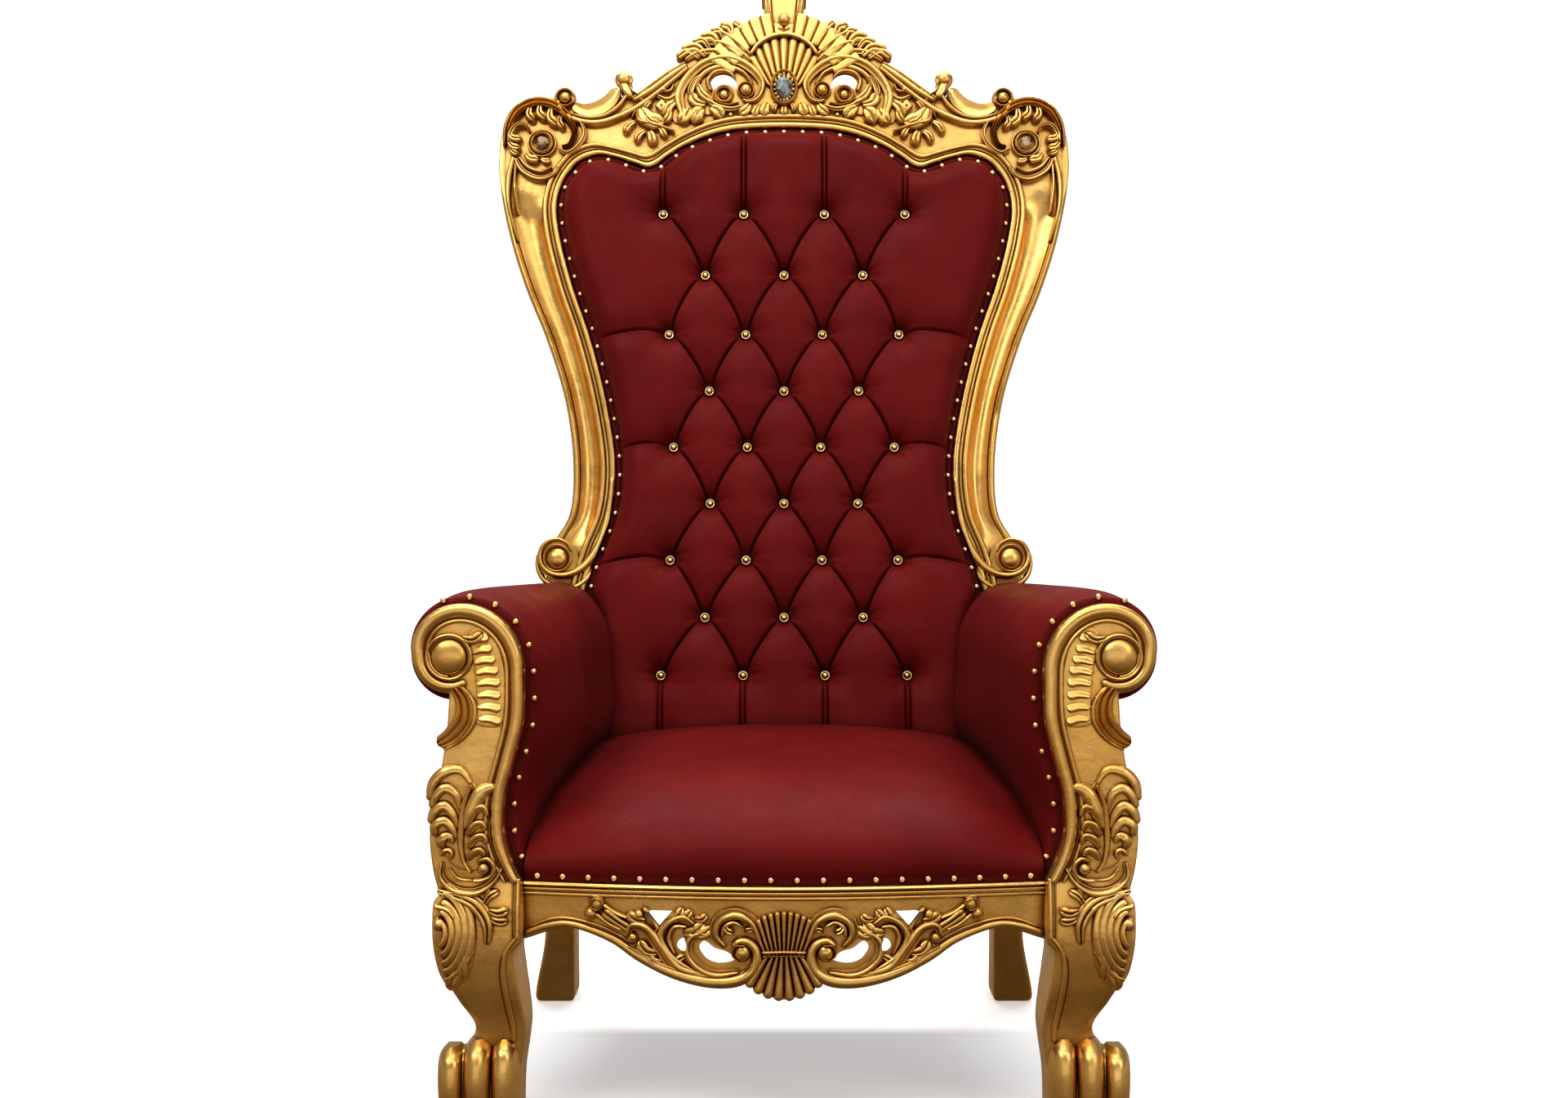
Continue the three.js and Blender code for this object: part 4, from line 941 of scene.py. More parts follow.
def plumes():
    """Two rows of arching lobes on either side of a stem, over a crescent."""
    outer_lobes = [
        [(467, 434), (461, 458), (446, 472), (426, 474), (411, 456)],
        [(464, 424), (458, 441), (446, 451), (433, 444), (425, 421)],
        [(466, 404), (459, 421), (447, 428), (436, 417), (428, 398)],
        [(459, 387), (459, 402), (447, 408), (437, 399), (430, 384)],
        [(448, 371), (451, 382), (442, 388), (434, 378)],
    ]
    inner_lobes = [
        [(390, 412), (395, 425), (407, 421), (418, 404)],
        [(392, 394), (397, 404), (407, 402), (417, 387)],
        [(391, 376), (395, 387), (406, 385), (415, 371)],
        [(393, 361), (399, 369), (408, 366), (415, 356)],
    ]
    ground = [(466, 420), (462, 455), (446, 470), (424, 472), (404, 452), (388, 420), (388, 372), (398, 345),
              (430, 345), (452, 372)]
    parts = [plate(rounded(ground), -ROOT, 1.8, bevel=1.5)]
    parts += [stroke(path, [9, 14, 15, 12, 6], [8, 10, 10.5, 8, 5], SCALLOP, tips=(1.1, 0.6), pitch=2.4)
              for path in outer_lobes]
    parts += [stroke(path, [7, 12, 12, 6], [8, 10, 9, 6], SCALLOP, tips=(1.1, 0.6), pitch=2.4)
              for path in inner_lobes]
    return parts + [
        stroke([(411, 456), (421, 428), (424, 400), (425, 378), (421, 355), (411, 339)],
               [5, 8, 10, 10, 8, 6], 9),
        stroke([(420, 396), (408, 428), (396, 446), (379, 453)], [9, 22, 25, 13], [8, 10.5, 10, 7],
               tips=(1, 0.8)),
        dome((395, 345), 9, 12),
        stroke([(410, 330), (398, 330), (384, 337), (381, 350), (391, 359), (404, 354)], [6, 8, 8, 7, 6, 4],
               [9, 10, 10, 9.5], tips=(1, 0.8)),
        stroke([(452, 362), (444, 370), (436, 366), (440, 356)], [7, 9, 8, 5], 9),
        stroke([(449, 354), (450, 334), (433, 318), (405, 315), (383, 328), (371, 346)],
               [6, 11, 14, 14, 11, 6], [8, 9, 10, 10, 9, 7], DOUBLE, tips=(1, 0.8)),
        stroke([(440, 346), (428, 332), (406, 330)], [3, 5, 3], 5.5),
    ]


def knee():
    """An S-shaped leaf, a sprig, and a drop shell with nested ridges."""
    ridges = []
    sizes = ((14, 10, 12.5), (23, 12.5, 11.5), (32, 13.5, 10.5), (41, 13.5, 9), (50, 11, 7))
    for radius, width, height in sizes:
        angles = np.linspace(1.72, 4.55, 10)
        path = [(455 + 0.92 * radius * math.cos(a), 262 + 1.32 * radius * math.sin(a)) for a in angles]
        ridges.append(stroke(path, [0.7 * width, width, 1.1 * width, 0.9 * width], height, SCALLOP))
    ground = [(458, 306), (436, 312), (418, 298), (407, 268), (406, 238), (414, 206), (436, 186),
              (450, 200), (459, 232), (462, 270)]
    return [
        plate(rounded(ground), -ROOT, 2.2, bevel=1.8),
        stroke([(456, 316), (430, 309), (406, 298), (390, 275), (389, 246)], [8, 14, 18, 18, 9],
               [8, 9, 10, 9.5, 7], LEAF),
        stroke([(444, 322), (420, 316), (396, 300), (380, 276)], [4, 7, 8, 4], 5.5),
        *petals(((394, 298), (374, 316), 10, 9, -0.12), ((388, 291), (361, 292), 12, 9.5, 0.14),
                ((386, 281), (361, 277), 11, 9, 0.1), ((392, 305), (384, 318), 7, 7, -0.1)),
        *ridges,
        dome((452, 274), 10, 14),
        stroke([(460, 298), (440, 292), (430, 280)], [8, 10, 7], 12),
        *petals(((408, 240), (422, 198), 13, 7.5, 0.14), ((420, 214), (440, 184), 15, 7, 0.12)),
    ]


def facing_carving():
    """Mouldings and acanthus of the facing and the knee, on the right-hand leg."""
    centre = (SCROLL["across"], SCROLL["up"])
    hook = [(436, 588), (421, 565), (421, 540), (436, 520), (456, 508)]
    return [
        stroke(facing_path(8.6, -2.2), [13, 17, 18, 18, 18, 18, 17, 12], 7.5, tips=(0.3, 1)),
        stroke(facing_path(22.5, -1.6), [5, 7.5, 7.5, 7.5, 6.5, 5], 5.5, tips=(0.3, 1)),
        stroke(facing_path(18.2, -0.8), 2.2, 2.6, tips=(0.3, 1)),
        hoop(centre, 29, 6.5, 6.5),
        dome(centre, 24.5, 11, segments=44, rings=9),
        *gadroons(),
        petal((424, 648), (396, 655), 12, 9),
        stroke(hook, [14, 25, 29, 27, 17], [7, 10, 10.5, 9, 7], RIPPLE, tips=(1, 0.7), pitch=2.4),
        stroke([(428, 590), (408, 562), (409, 536), (427, 513), (448, 501)], [4, 7, 8, 7, 4], 6),
        *plumes(),
        *knee(),
        stroke([(350, 332), (350, 292), (350, 252)], 8, 5.5, tips=(0.4, 0.4)),
        stroke([(357, 330), (357, 292), (357, 254)], 2.5, 3, tips=(0.4, 0.4)),
        stroke([(349, 258), (364, 238), (369, 210), (365, 170), (358, 134), (357, 112)],
               [7, 8, 8, 7, 6], 4.5, tips=(0.6, 0.8)),
        stroke([(357, 246), (371, 232), (376, 208), (372, 168), (364, 128)], [2.5, 3.5, 3.5, 2.5], 2.2),
    ]


def front_leg():
    rim = [scroll_rim(angle, 0) for angle in np.linspace(3.45, -1.5, 56)]
    edge = catmull(FACING_INNER)(np.linspace(0, 1, 49))
    flank = catmull(FACING_OUTER)(np.linspace(0, 1, 33))
    facing = plate(np.vstack([edge, rim, flank])[::-1], -FACING_THICK, 0, bevel=2.5)
    toes = [toe(371.5, 41, 47, -1, 116), toe(404.5, 42, 55, 0, 117), toe(438, 40, 48, 2, 106),
            toe(404, 96, 38, 0, 104)]
    upright = laid([facing], lambda x, z, out: in_plan(x, -out, z))
    return united("front_leg_carved", [leg_shank(), *upright, *toes, *laid(facing_carving(), on_leg)])


# ---- Front rail ----
rail_lower = through([
    (0, 200), (53, 205), (90, 198), (140, 206), (188, 227), (226, 250), (284, 267), (RAIL_END, 250),
])


def roll(out, level, depth, half, start=0.3, end=2.8, count=6):
    """Points up a half-round moulding, as (out, level)."""
    return [(out + depth * math.sin(a), level - half * math.cos(a)) for a in np.linspace(start, end, count)]


def rail_body():
    beads = [(0, 307.5), (2.5, 308.2), *roll(2, 311.3, 4.5, 3), (3.2, 315), *roll(3, 317.8, 4, 2.4),
             (3.6, 320.8), *roll(3.4, 323.3, 4, 2.3, end=2.6), (5, RAIL_TOP)]
    rings = []
    for x in np.linspace(-RAIL_END, RAIL_END, 173):
        low = rail_lower(abs(x))
        profile = [(-RAIL_THICK, low), (-RAIL_THICK + 3, low - 1), (-2, low - 1), (0, low + 2), *beads,
                   (-RAIL_THICK, RAIL_TOP)]
        out, z = np.array(profile).T
        rings.append(on_rail(np.full(len(z), x), z, out))
    return shell(rings)


def rail_carving():
    """Scrolls and leaves of the front rail's right-hand half."""
    lower = [(342, 258), (314, 268), (284, 272), (226, 255), (188, 232), (140, 211), (90, 202), (58, 206),
             (40, 219), (35, 240), (43, 253), (57, 257), (68, 249)]
    return [
        stroke(lower, [9, 10, 10, 12, 14, 15, 17, 18, 15, 10], [5, 5.5, 6, 8, 10, 11, 11.5, 11],
               tips=(0.3, 1)),
        stroke([(338, 266), (300, 279), (262, 276), (222, 263), (186, 241)], [3, 4, 4, 3], 3, tips=(0.4, 1)),
        stroke([(204, 248), (158, 225), (108, 212), (72, 215)], [5, 9, 10, 6], 8, DOUBLE),
        dome((55, 241), 13, 12),
        stroke([(50, 252), (64, 250), (67, 238), (58, 230)], [3, 4, 4, 3], 13.5),
        stroke([(76, 247), (90, 264), (86, 282), (66, 292), (43, 284), (29, 258)],
               [7, 15, 18, 18, 14, 8], [8, 10.5, 12, 12, 10], DOUBLE),
        stroke([(80, 262), (78, 274), (66, 281), (52, 275)], [6, 9, 8, 4], 10.5),
        *petals(((78, 278), (64, 268), 9, 12), ((36, 268), (52, 268), 8, 9)),
        stroke([(98, 262), (112, 264), (124, 254), (124, 238), (111, 222), (90, 213), (58, 217)],
               [6, 12, 14, 14, 12, 8], [8, 10, 10, 9, 8], DOUBLE),
        stroke([(91, 208), (139, 219), (162, 247), (181, 270), (199, 273), (206, 258)],
               [7, 15, 19, 18, 14, 10], [7, 9, 11, 11, 10], DOUBLE),
        ball((198, 258), 6.5, 4),
        stroke([(110, 212), (146, 232), (163, 260), (153, 279), (131, 288), (115, 278)],
               [6, 12, 15, 15, 13, 8], [6, 9, 10.5, 10, 9], DOUBLE),
        stroke([(142, 238), (150, 258), (143, 273), (126, 274)], [4, 8, 9, 5], 8.5),
        *petals(((164, 238), (190, 255), 14, 9, -0.2), ((156, 227), (180, 239), 11, 8.5, -0.2),
                ((144, 218), (168, 226), 10, 8, -0.2), ((132, 266), (104, 279), 17, 9),
                ((122, 266), (94, 274), 14, 8.5), ((128, 236), (143, 220), 11, 8, 0.15),
                ((154, 282), (132, 299), 12, 9), ((142, 286), (120, 296), 11, 8),
                ((118, 284), (100, 290), 10, 7.5)),
        ball((190, 288), 7, 3),
        petal((180, 279), (206, 290), 13, 9, -0.1),
        stroke([(184, 298), (172, 284), (163, 268)], [8, 9, 6], 8.5),
        stroke([(200, 267), (216, 277), (238, 292)], [15, 14, 18], [7, 9.5, 10], LEAF),
        stroke([(204, 283), (222, 290), (238, 300)], [6, 7, 9], 9),
        stroke([(212, 267), (230, 275), (248, 288)], [6, 7, 8], 8),
        dome((246, 300), 11.5, 10),
        hoop((246, 300), 7, 3, 11),
        dome((254, 287), 9, 9.5),
        petal((236, 306), (256, 308), 6, 7, 0.1),
    ]


def front_rail():
    holes = both_sides([tunnel(hole, 14, -RAIL_THICK - 5, -9) for hole in (
        [(146, 293), (163, 274), (180, 293)],
        rounded([(130, 241), (139, 247), (137, 255), (131, 258), (127, 249)]),
        rounded([(64, 232), (84, 227), (101, 233), (110, 248), (104, 255), (90, 246), (74, 241)]),
    )])
    lower_tip = [(-44, 212), (-40, 200), (-20, 184), (0, 180), (20, 184), (40, 200), (44, 212)]
    shells = [
        *fan((0, 183), 0.44, lambda a: 56, lambda a: 113 - 48 * a * a, 11, 9.5),
        *fan((0, 272), 0.64, lambda a: 33, lambda a: 94 - 14 * a * a, 8, 9, down=True),
        stroke([(-29, 243), (0, 244), (29, 243)], 4.5, 14, tips=(0.5, 0.5)),
        stroke([(-28, 237.5), (0, 238), (28, 237.5)], 5, 11, tips=(0.5, 0.5)),
        plate(lower_tip, -RAIL_THICK + 14, 3),
    ]
    carving = [*both_sides(rail_carving()), *shells]
    return united("front_rail_carved", [rail_body(), *laid(carving, on_rail)], laid(holes, on_rail))


# ---- Plain rails and rear legs ----
def side_rail():
    start, end = LEG_DEPTH + GAP, REAR_LEG["front"] - GAP
    rings = []
    for s in np.linspace(0, 1, 25):
        y = start + (end - start) * s
        narrowing = (REAR_LEG["outer"] - SIDE_RAIL_OUTER) * (y - LEG_DEPTH) / (REAR_LEG["front"] - LEG_DEPTH)
        x = SIDE_RAIL_OUTER + narrowing - 5
        low = RAIL_BOTTOM + 14 * math.sin(math.pi * s)
        lip = [(x - 3 + 3 * math.cos(a), low + 5 + 5 * math.sin(a)) for a in np.linspace(-np.pi / 2, 0.4, 6)]
        profile = [(x - 30, low), *lip, (x - 1.5, low + 10), (x - 1.5, 307),
                   *roll(x, 317, 5, 8, start=0.35, count=9), (x, RAIL_TOP), (x - 30, RAIL_TOP)]
        across, z = np.array(profile).T
        rings.append(in_plan(across, y, z))
    return shell(rings)


def back_rail():
    half = REAR_LEG["inner"] - GAP
    rear = BACK_RAIL_FRONT + BACK_RAIL_THICK
    z, y = rounded_section(RAIL_BOTTOM, RAIL_TOP, BACK_RAIL_FRONT, rear, (3, 1, 1, 3), 4).T
    return shell([in_plan(x, y, z) for x in np.linspace(-half, half, 9)])


def rear_leg():
    drop = through([(0, 1), (60, 0.72), (124, 0.42), (250, 0), (RAIL_TOP, 0)])
    rings = []
    for z in np.r_[0, 1, 3, np.arange(8, 321, 8), RAIL_TOP]:
        back = REAR_LEG["sweep"] * drop(z)
        slim = 8 * math.sin(math.pi * min(z, 250) / 250)
        flare = 12 * (1 - smooth(z, 12, 150))
        inner = REAR_LEG["inner"] + REAR_LEG["splay"] * drop(z)
        outer = REAR_LEG["outer"] + REAR_LEG["splay"] * drop(z) - slim + flare
        near = REAR_LEG["front"] + back
        far = near + REAR_LEG["depth"] - slim - REAR_LEG_TAPER * smooth(z, 210, RAIL_TOP)
        worn = 5 * math.exp(-z / 4)
        plan = rounded_section(inner + worn, outer - worn, near + worn, far - worn, (5, 9, 9, 5), 5)
        rings.append(in_plan(plan[:, 0], plan[:, 1], z))
    return shell(rings)


# ---- Tufted back ----
SPAN = 2  # the diamonds' lattice reaches this many pitches to either side
HUG = 0.03  # folds pass a button this share of a pitch beside its middle
FOLD_BOW = 0.05  # and bow outwards by this share of a pitch
LEAN_SHARE = 0.82  # from a level distance to one square to a fold
BLEND = 2.4  # how tightly the pulls of folds and buttons join
FOLD_REACH = 54
BUTTON_REACH = 25
PLEAT_REACH = 24  # beside the upright pleats above the top buttons and below the bottom ones
SIDE_FOLD_REACH = 46
GRIP = 11.5  # round a button's middle, where it holds the leather down


def distance_to_outline(x, v):
    outline = cushion_outline(0, 50)
    best = np.full(x.shape, 1e9)
    for (x0, v0), (x1, v1) in zip(outline[:-1], outline[1:]):
        length2 = (x1 - x0) ** 2 + (v1 - v0) ** 2
        t = np.clip(((x - x0) * (x1 - x0) + (v - v0) * (v1 - v0)) / length2, 0, 1)
        best = np.minimum(best, np.hypot(x - x0 - t * (x1 - x0), v - v0 - t * (v1 - v0)))
    return best


def button_places():
    places = []
    for k in range(BUTTON_ROWS):
        count = 3 if k % 2 else 4
        for i in range(count):
            places.append((f"button_row_{k + 1}_place_{i + 1}", i - (count - 1) / 2, k))
    return places


def fold_away(f):
    """How many pitches a fold is from its upper button, at a share f of the way down."""
    return HUG + (0.5 - 2 * HUG) * f + FOLD_BOW * 4 * f * (1 - f)


def quarter(d, reach):
    """From 1 on a crease, steeply at first, to 0 at its reach."""
    return 1 - np.sqrt(1 - (1 - np.clip(d / reach, 0, 1)) ** 2)


def lap(d):
    """A fold where one side's rolled edge laps over the other, which lies at negative distances."""
    under = 5.5 * np.clip(1 - np.abs(d + 0.5) / 4.2, 0, 1) ** 1.4 * (d < 0.3)
    roll = -1.6 * np.exp(-(((d - 2.8) / 2.3) ** 2))
    return under + roll


def tufting(x, v):
    """How far out the leather stands, from the buttons that hold it and the folds between them."""
    pull = np.zeros_like(x)
    creases = np.zeros_like(x)
    held = {(p, row) for _, p, row in button_places()}
    for p, row in sorted(held):
        high, bx = button_row(row), p * button_pitch(row)
        for side in (-1, 1):
            if (p + side / 2, row - 1) not in held:
                continue
            low = button_row(row - 1)
            down = np.clip((high - v) / (high - low), 0, 1)
            pitch = button_pitch(row - down)
            line = (p + side * fold_away(down)) * pitch
            over = np.maximum(np.maximum(v - high, low - v), 0)
            across = (x - line) * LEAN_SHARE
            distance = np.hypot(across, over)
            pull += ((PUFF * 0.42) * (1 - np.clip(distance / FOLD_REACH, 0, 1)) ** 2.1) ** BLEND
            window = smooth(down, 0.03, 0.16) * (1 - smooth(down, 0.86, 0.99))
            creases += lap(-side * across) * window * (over <= 0)
        distance = np.hypot(x - bx, v - high)
        turn = np.arctan2(v - high, x - bx)
        ruffle = 1 + 0.07 * np.cos(9 * turn + 2 * row + p) * np.exp(-(((distance - 22) / 12) ** 2))
        pull += (PUFF * np.exp(-((distance / BUTTON_REACH) ** 1.2)) * ruffle) ** BLEND
        if row in (0, BUTTON_ROWS - 1):
            away = (high - v) if row == 0 else (v - high)
            beyond = smooth(away, 4, 12)
            for offset in (-3.6, 3.6):
                creases += 3.6 * np.exp(-(((x - bx - offset) / 1.5) ** 2)) * beyond
            creases -= 1.4 * np.exp(-(((x - bx) / 2.4) ** 2)) * beyond
            pull += (10 * np.exp(-(((x - bx) / PLEAT_REACH) ** 2)) * beyond) ** BLEND
        if row in (2, 4, 6) and abs(p) == 1.5:
            away = (x - bx) * np.sign(p)
            line = high + 3 * np.sin(np.clip(away / 110, 0, 1) * np.pi) - 9 * smooth(away, 30, 130)
            beyond = smooth(away, 4, 12)
            creases += lap(line - v) * beyond
            pull += (11 * (1 - np.clip(np.abs(v - line) / SIDE_FOLD_REACH, 0, 1)) ** 2 * beyond) ** BLEND
    out = BUTTON_LEVEL + PUFF - pull ** (1 / BLEND) - creases
    for p, row in sorted(held):
        grip = np.exp(-((np.hypot(x - p * button_pitch(row), v - button_row(row)) / GRIP) ** 4))
        out = out * (1 - grip) + (BUTTON_LEVEL - 1) * grip
    return out


def clustered(count, crowd):
    """Shares from 0 to 1, closer together towards both ends."""
    t = np.linspace(0, 1, count + 1)
    return t - crowd * np.sin(2 * np.pi * t)


def lattice_lines(k):
    """Where the folds' lines cross a level k rows up, in pitches."""
    upper = math.floor(k) + 1
    down = upper - k
    first = -1.5 if upper % 2 == 0 else -2
    lines = []
    for i in range(5):
        p = first + i
        for side in (-1, 1):
            lines.append(p + side * fold_away(down))
    lines = lines[:8] if upper % 2 == 0 else lines[1:9]
    return [-SPAN, *lines, SPAN]


def back_cushion():
    top = float(button_row(BUTTON_ROWS - 1))
    rows = [(v, 1e-6, 0.0) for v in np.linspace(BACK_BOTTOM, button_row(0), 44)[:-1]]
    for k in range(BUTTON_ROWS - 1):
        rows += [(float(button_row(k + t)), k + t, 0.0) for t in clustered(30, 0.075)[:-1]]
    rows += [(v, BUTTON_ROWS - 1 - 1e-6, (v - top) / (CORNER_V - top))
             for v in np.linspace(top, CORNER_V, 42)]
    xs, vs = [], []
    for v, k, rise in rows:
        half = float(side_edge(v))
        pitch = float(button_pitch(k))
        lines = np.array(lattice_lines(k)) * pitch
        p = [lines[0] + (lines[1] - lines[0]) * clustered(11, 0.08)]
        for left, right in zip(lines[1:-2], lines[2:-1]):
            p.append(left + (right - left) * clustered(24, 0.148)[1:])
        p.append(lines[-2] + (lines[-1] - lines[-2]) * clustered(11, 0.08)[1:])
        reach = SPAN * pitch
        outer = reach + (half - reach) * np.linspace(0, 1, 23)[1:]
        x = np.concatenate([-outer[::-1], *p, outer])
        xs.append(x)
        vs.append(v + rise * (top_edge(np.abs(x)) - CORNER_V))
    x, v = np.array(xs), np.array(vs)
    edge = distance_to_outline(x, v)
    edge = np.where(v < BACK_BOTTOM + 40, np.minimum(edge, side_edge(v) - np.abs(x)), edge)
    swell = np.sqrt(1 - (1 - np.clip((edge - FLAT_STRIP) / STRIP_TO_PUFF, 0, 1)) ** 2)
    border = -1.5 - 4 * quarter(edge, 3.5) + 0.5 * np.sin(v / 9) * np.sin(x / 11 + 1)
    out = border + (tufting(x, v) - border) * swell
    out -= 2.4 * np.exp(-(((edge - FLAT_STRIP) / 2.0) ** 2))
    front = on_back(x, v, out)
    count, width = x.shape
    index = np.arange(count * width).reshape(count, width)
    quads = np.stack([index[:-1, :-1], index[:-1, 1:], index[1:, 1:], index[1:, :-1]], -1).reshape(-1, 4)
    loop = np.r_[index[:, -1], index[-1, -2:0:-1], index[::-1, 0], index[0, 1:-1]]
    back = on_back(x, v, np.full_like(x, -30.0)).reshape(-1, 3)[loop]
    base = count * width
    after = np.roll(np.arange(len(loop)), -1)
    sides = np.stack([loop, base + np.arange(len(loop)), base + after, loop[after]], -1).tolist()
    faces = quads.tolist() + sides + [list(range(base, base + len(loop)))[::-1]]
    return outward(np.vstack([front.reshape(-1, 3), back]), faces)


# ---- Plain leather: outside back, arms and seat ----
def outside_back():
    """The leather stretched over the back's rear face, down to the rail."""
    outline = cushion_outline(-0.4, 70, bottom=OUTSIDE_BOTTOM)
    rings = []
    middle = np.array([0, 640])
    for share, out in ((1.0, -30.4), (1.0, -46), (0.992, -49), (0.984, -47.6), (0.976, -49.5), (0.955, -52.5),
                       (0.9, -55.5), (0.75, -58), (0.5, -59.5), (0.2, -60)):
        points = middle + (outline - middle) * share
        rings.append(on_back(points[:, 0], points[:, 1], out))
    return shell(rings)


def rear_nails():
    line = cushion_outline(-8, 70, bottom=OUTSIDE_BOTTOM)
    backward = on_back(0, 0, -1) - on_back(0, 0, 0)
    return [stud(on_back(x, v, -49.2), backward) for x, v in spaced(line, 34, 10)]


arm_inner = through([
    (RAIL_TOP, 330), (352, 345), (380, 354), (412, 357), (445, 353), (488, 341), (540, 330),
])


def arm_section(y, inset):
    share = y / ARM_TAPER_LENGTH
    roll_x, roll_z = scroll_rim(np.linspace(-1.55, 3.35, 70), inset - ARM_PROUD)
    inner_z = np.linspace(538, RAIL_TOP + GAP, 44)
    low = smooth(560 - inner_z, 0, 60)
    inner_x = arm_inner(inner_z) + inset - 14 * share * low
    outer_z = np.linspace(RAIL_TOP + GAP, 556, 30)
    bulge = 3 * np.sin(np.clip((outer_z - 330) / 230, 0, 1) * np.pi)
    outer_x = ARM_OUTER - inset + 2 * smooth(outer_z, RAIL_TOP, 500) + bulge
    x = np.r_[roll_x, inner_x, outer_x] - ARM_TAPER * share
    return x, np.r_[roll_z, inner_z, outer_z]


def arm():
    """The padded arm, from its rounded front edge to where it meets the back."""
    front = FACING_THICK + GAP
    insets = through([(0, 10), (1.2, 5.5), (3.5, 2.2), (7, 0.6), (12, 0), (70, -6), (260, -7), (640, -4)])
    cos, sin = math.cos(BACK_LEAN), math.sin(BACK_LEAN)
    behind = -14
    rings = []
    for d in (0, 0.6, 1.2, 2.2, 3.5, 5, 7, 9.5, 12, 16, 22, 30, 40, 52, 66, 82,
              *np.linspace(100, ARM_DEPTH, 26)):
        x, z = arm_section(front + d, insets(d))
        v = (z - BACK_START[2] - behind * sin) / cos
        end = BACK_START[1] + v * sin - behind * cos
        y = front + d + (end - front - ARM_DEPTH) * (d / ARM_DEPTH) ** 1.4
        rings.append(in_plan(x, y, z))
    return shell(rings)


def seat():
    """The domed seat, as a row of sections from front to back, with a rolled front over the nailed edge."""
    crown = [(0, RAIL_TOP + GAP), (0, 333), (-3, 342), (-5, 353), (-3.5, 366), (3, 380), (18, 397),
             (44, 417), (86, 439), (150, 459), (230, 472), (320, SEAT_CROWN), (420, 485), (526, 482)]
    side = [(0, RAIL_TOP + GAP), (0, 332), (-1.5, 338), (-2, 344), (0, 351), (6, 359), (18, 368), (40, 379),
            (86, 395), (150, 413), (230, 428), (320, 440), (420, 451), (526, 456)]
    depth = 530
    along_top = np.r_[0, 0.5, 1, np.linspace(1.25, len(crown) - 1, 72)] / (len(crown) - 1)
    crown, side = catmull(crown)(along_top), catmull(side)(along_top)
    sections = []
    for s in np.sin(np.linspace(-np.pi / 2, np.pi / 2, 91)):
        share = 1 - abs(s) ** 2.6
        d, z = (side + (crown - side) * share).T
        d, z = np.r_[d, depth, depth], np.r_[z, 400, RAIL_TOP + GAP]
        half = RAIL_END + 1 + (SEAT_BACK_HALF - RAIL_END + 2) * np.clip((SEAT_START + d) / 520, 0, 1)
        bow = SEAT_BOW * (1 - smooth(SEAT_START + d, 0, 260))
        sections.append(in_plan(half * s, SEAT_START + d - bow * (1 - s * s), z))
    return shell(sections)


# ---- Nails and buttons ----
def across_and_up(normal, count):
    """Directions round a normal."""
    side = normal.orthogonal().normalized()
    turn = full_turn(count)
    return np.outer(np.cos(turn), side) + np.outer(np.sin(turn), normal.cross(side))


def stud(centre, normal, height=NAIL_HEIGHT):
    """A domed nail head."""
    normal = Vector(normal).normalized()
    offsets = across_and_up(normal, 12)
    rings = []
    for share, rise in ((0.9, -1.5), (1, 0), (0.94, 0.45), (0.74, 0.78), (0.42, 0.95), (0.12, 1.0)):
        lift = rise * height if rise > 0 else rise
        rings.append(np.array(centre) + np.array(normal) * lift + offsets * NAIL_RADIUS * share)
    return shell(rings)


def spaced(points, pitch, start):
    """Evenly spaced places along a line of points, from a start as far from its end."""
    points = np.array(points)
    run = np.r_[0, np.cumsum(np.linalg.norm(np.diff(points, axis=0), axis=1))]
    count = int(round((run[-1] - 2 * start) / pitch))
    at = np.linspace(start, run[-1] - start, count + 1)
    return np.stack([np.interp(at, run, places) for places in points.T], 1)


def back_nails():
    line = cushion_outline(-7.2, 60)
    line = line[line[:, 1] > BACK_NAILS_FROM]
    forward = on_back(0, 0, 1) - on_back(0, 0, 0)
    return [stud(on_back(x, v, -1.2), forward) for x, v in spaced(line, 32.5, 12)]


def arm_nails():
    line = [(x - 10.5, z) for x, z in FACING_INNER[1:]]
    line += [scroll_rim(angle, -9.5) for angle in np.linspace(3.3, 1.35, 24)]
    path = catmull(line)(np.linspace(0, 1, 240))
    return [stud(in_plan(x, FACING_THICK + 1.6, z), (0, -1, 0), NAIL_HEIGHT + 1)
            for x, z in spaced(path, 35, 4)]


def seat_nails():
    studs = []
    for s in np.linspace(-0.955, 0.955, 20):
        x = (RAIL_END - 2) * s
        y = SEAT_START - SEAT_BOW * (1 - s * s) - 0.3
        studs.append(stud(in_plan(x, y, SEAT_NAIL_LEVEL), (0, -1, 0.25)))
    return studs


def button(p, row):
    """A round button with a rim round its dome."""
    place = on_back(p * button_pitch(row), button_row(row), BUTTON_LEVEL + 1.5)
    forward = Vector((on_back(0, 0, 1) - on_back(0, 0, 0)).tolist())
    offsets = across_and_up(forward, 30)
    profile = ((6.8, -1.5), (8.2, 0), (8.5, 1.4), (8.2, 2.6), (7.4, 3.3), (6.5, 3.3), (6.0, 3.0), (5.4, 3.6),
               (4.4, 5.2), (3.0, 6.4), (1.4, 7.0), (0.4, 7.1))
    return shell([place + np.array(forward) * out + offsets * radius for radius, out in profile])


def cut_stone(centre, across, up, low, rise, sides):
    """A faceted stone with a flat table, set in the back."""
    rings = []
    for share, height, twist in ((0.9, 0, 0), (1, 0.35, 0), (0.8, 0.75, np.pi / sides), (0.52, 1, 0)):
        turn = full_turn(sides) + twist
        rings.append(on_back(centre[0] + across * share * np.cos(turn), centre[1] + up * share * np.sin(turn),
                             low + height * rise))
    return shell(rings)


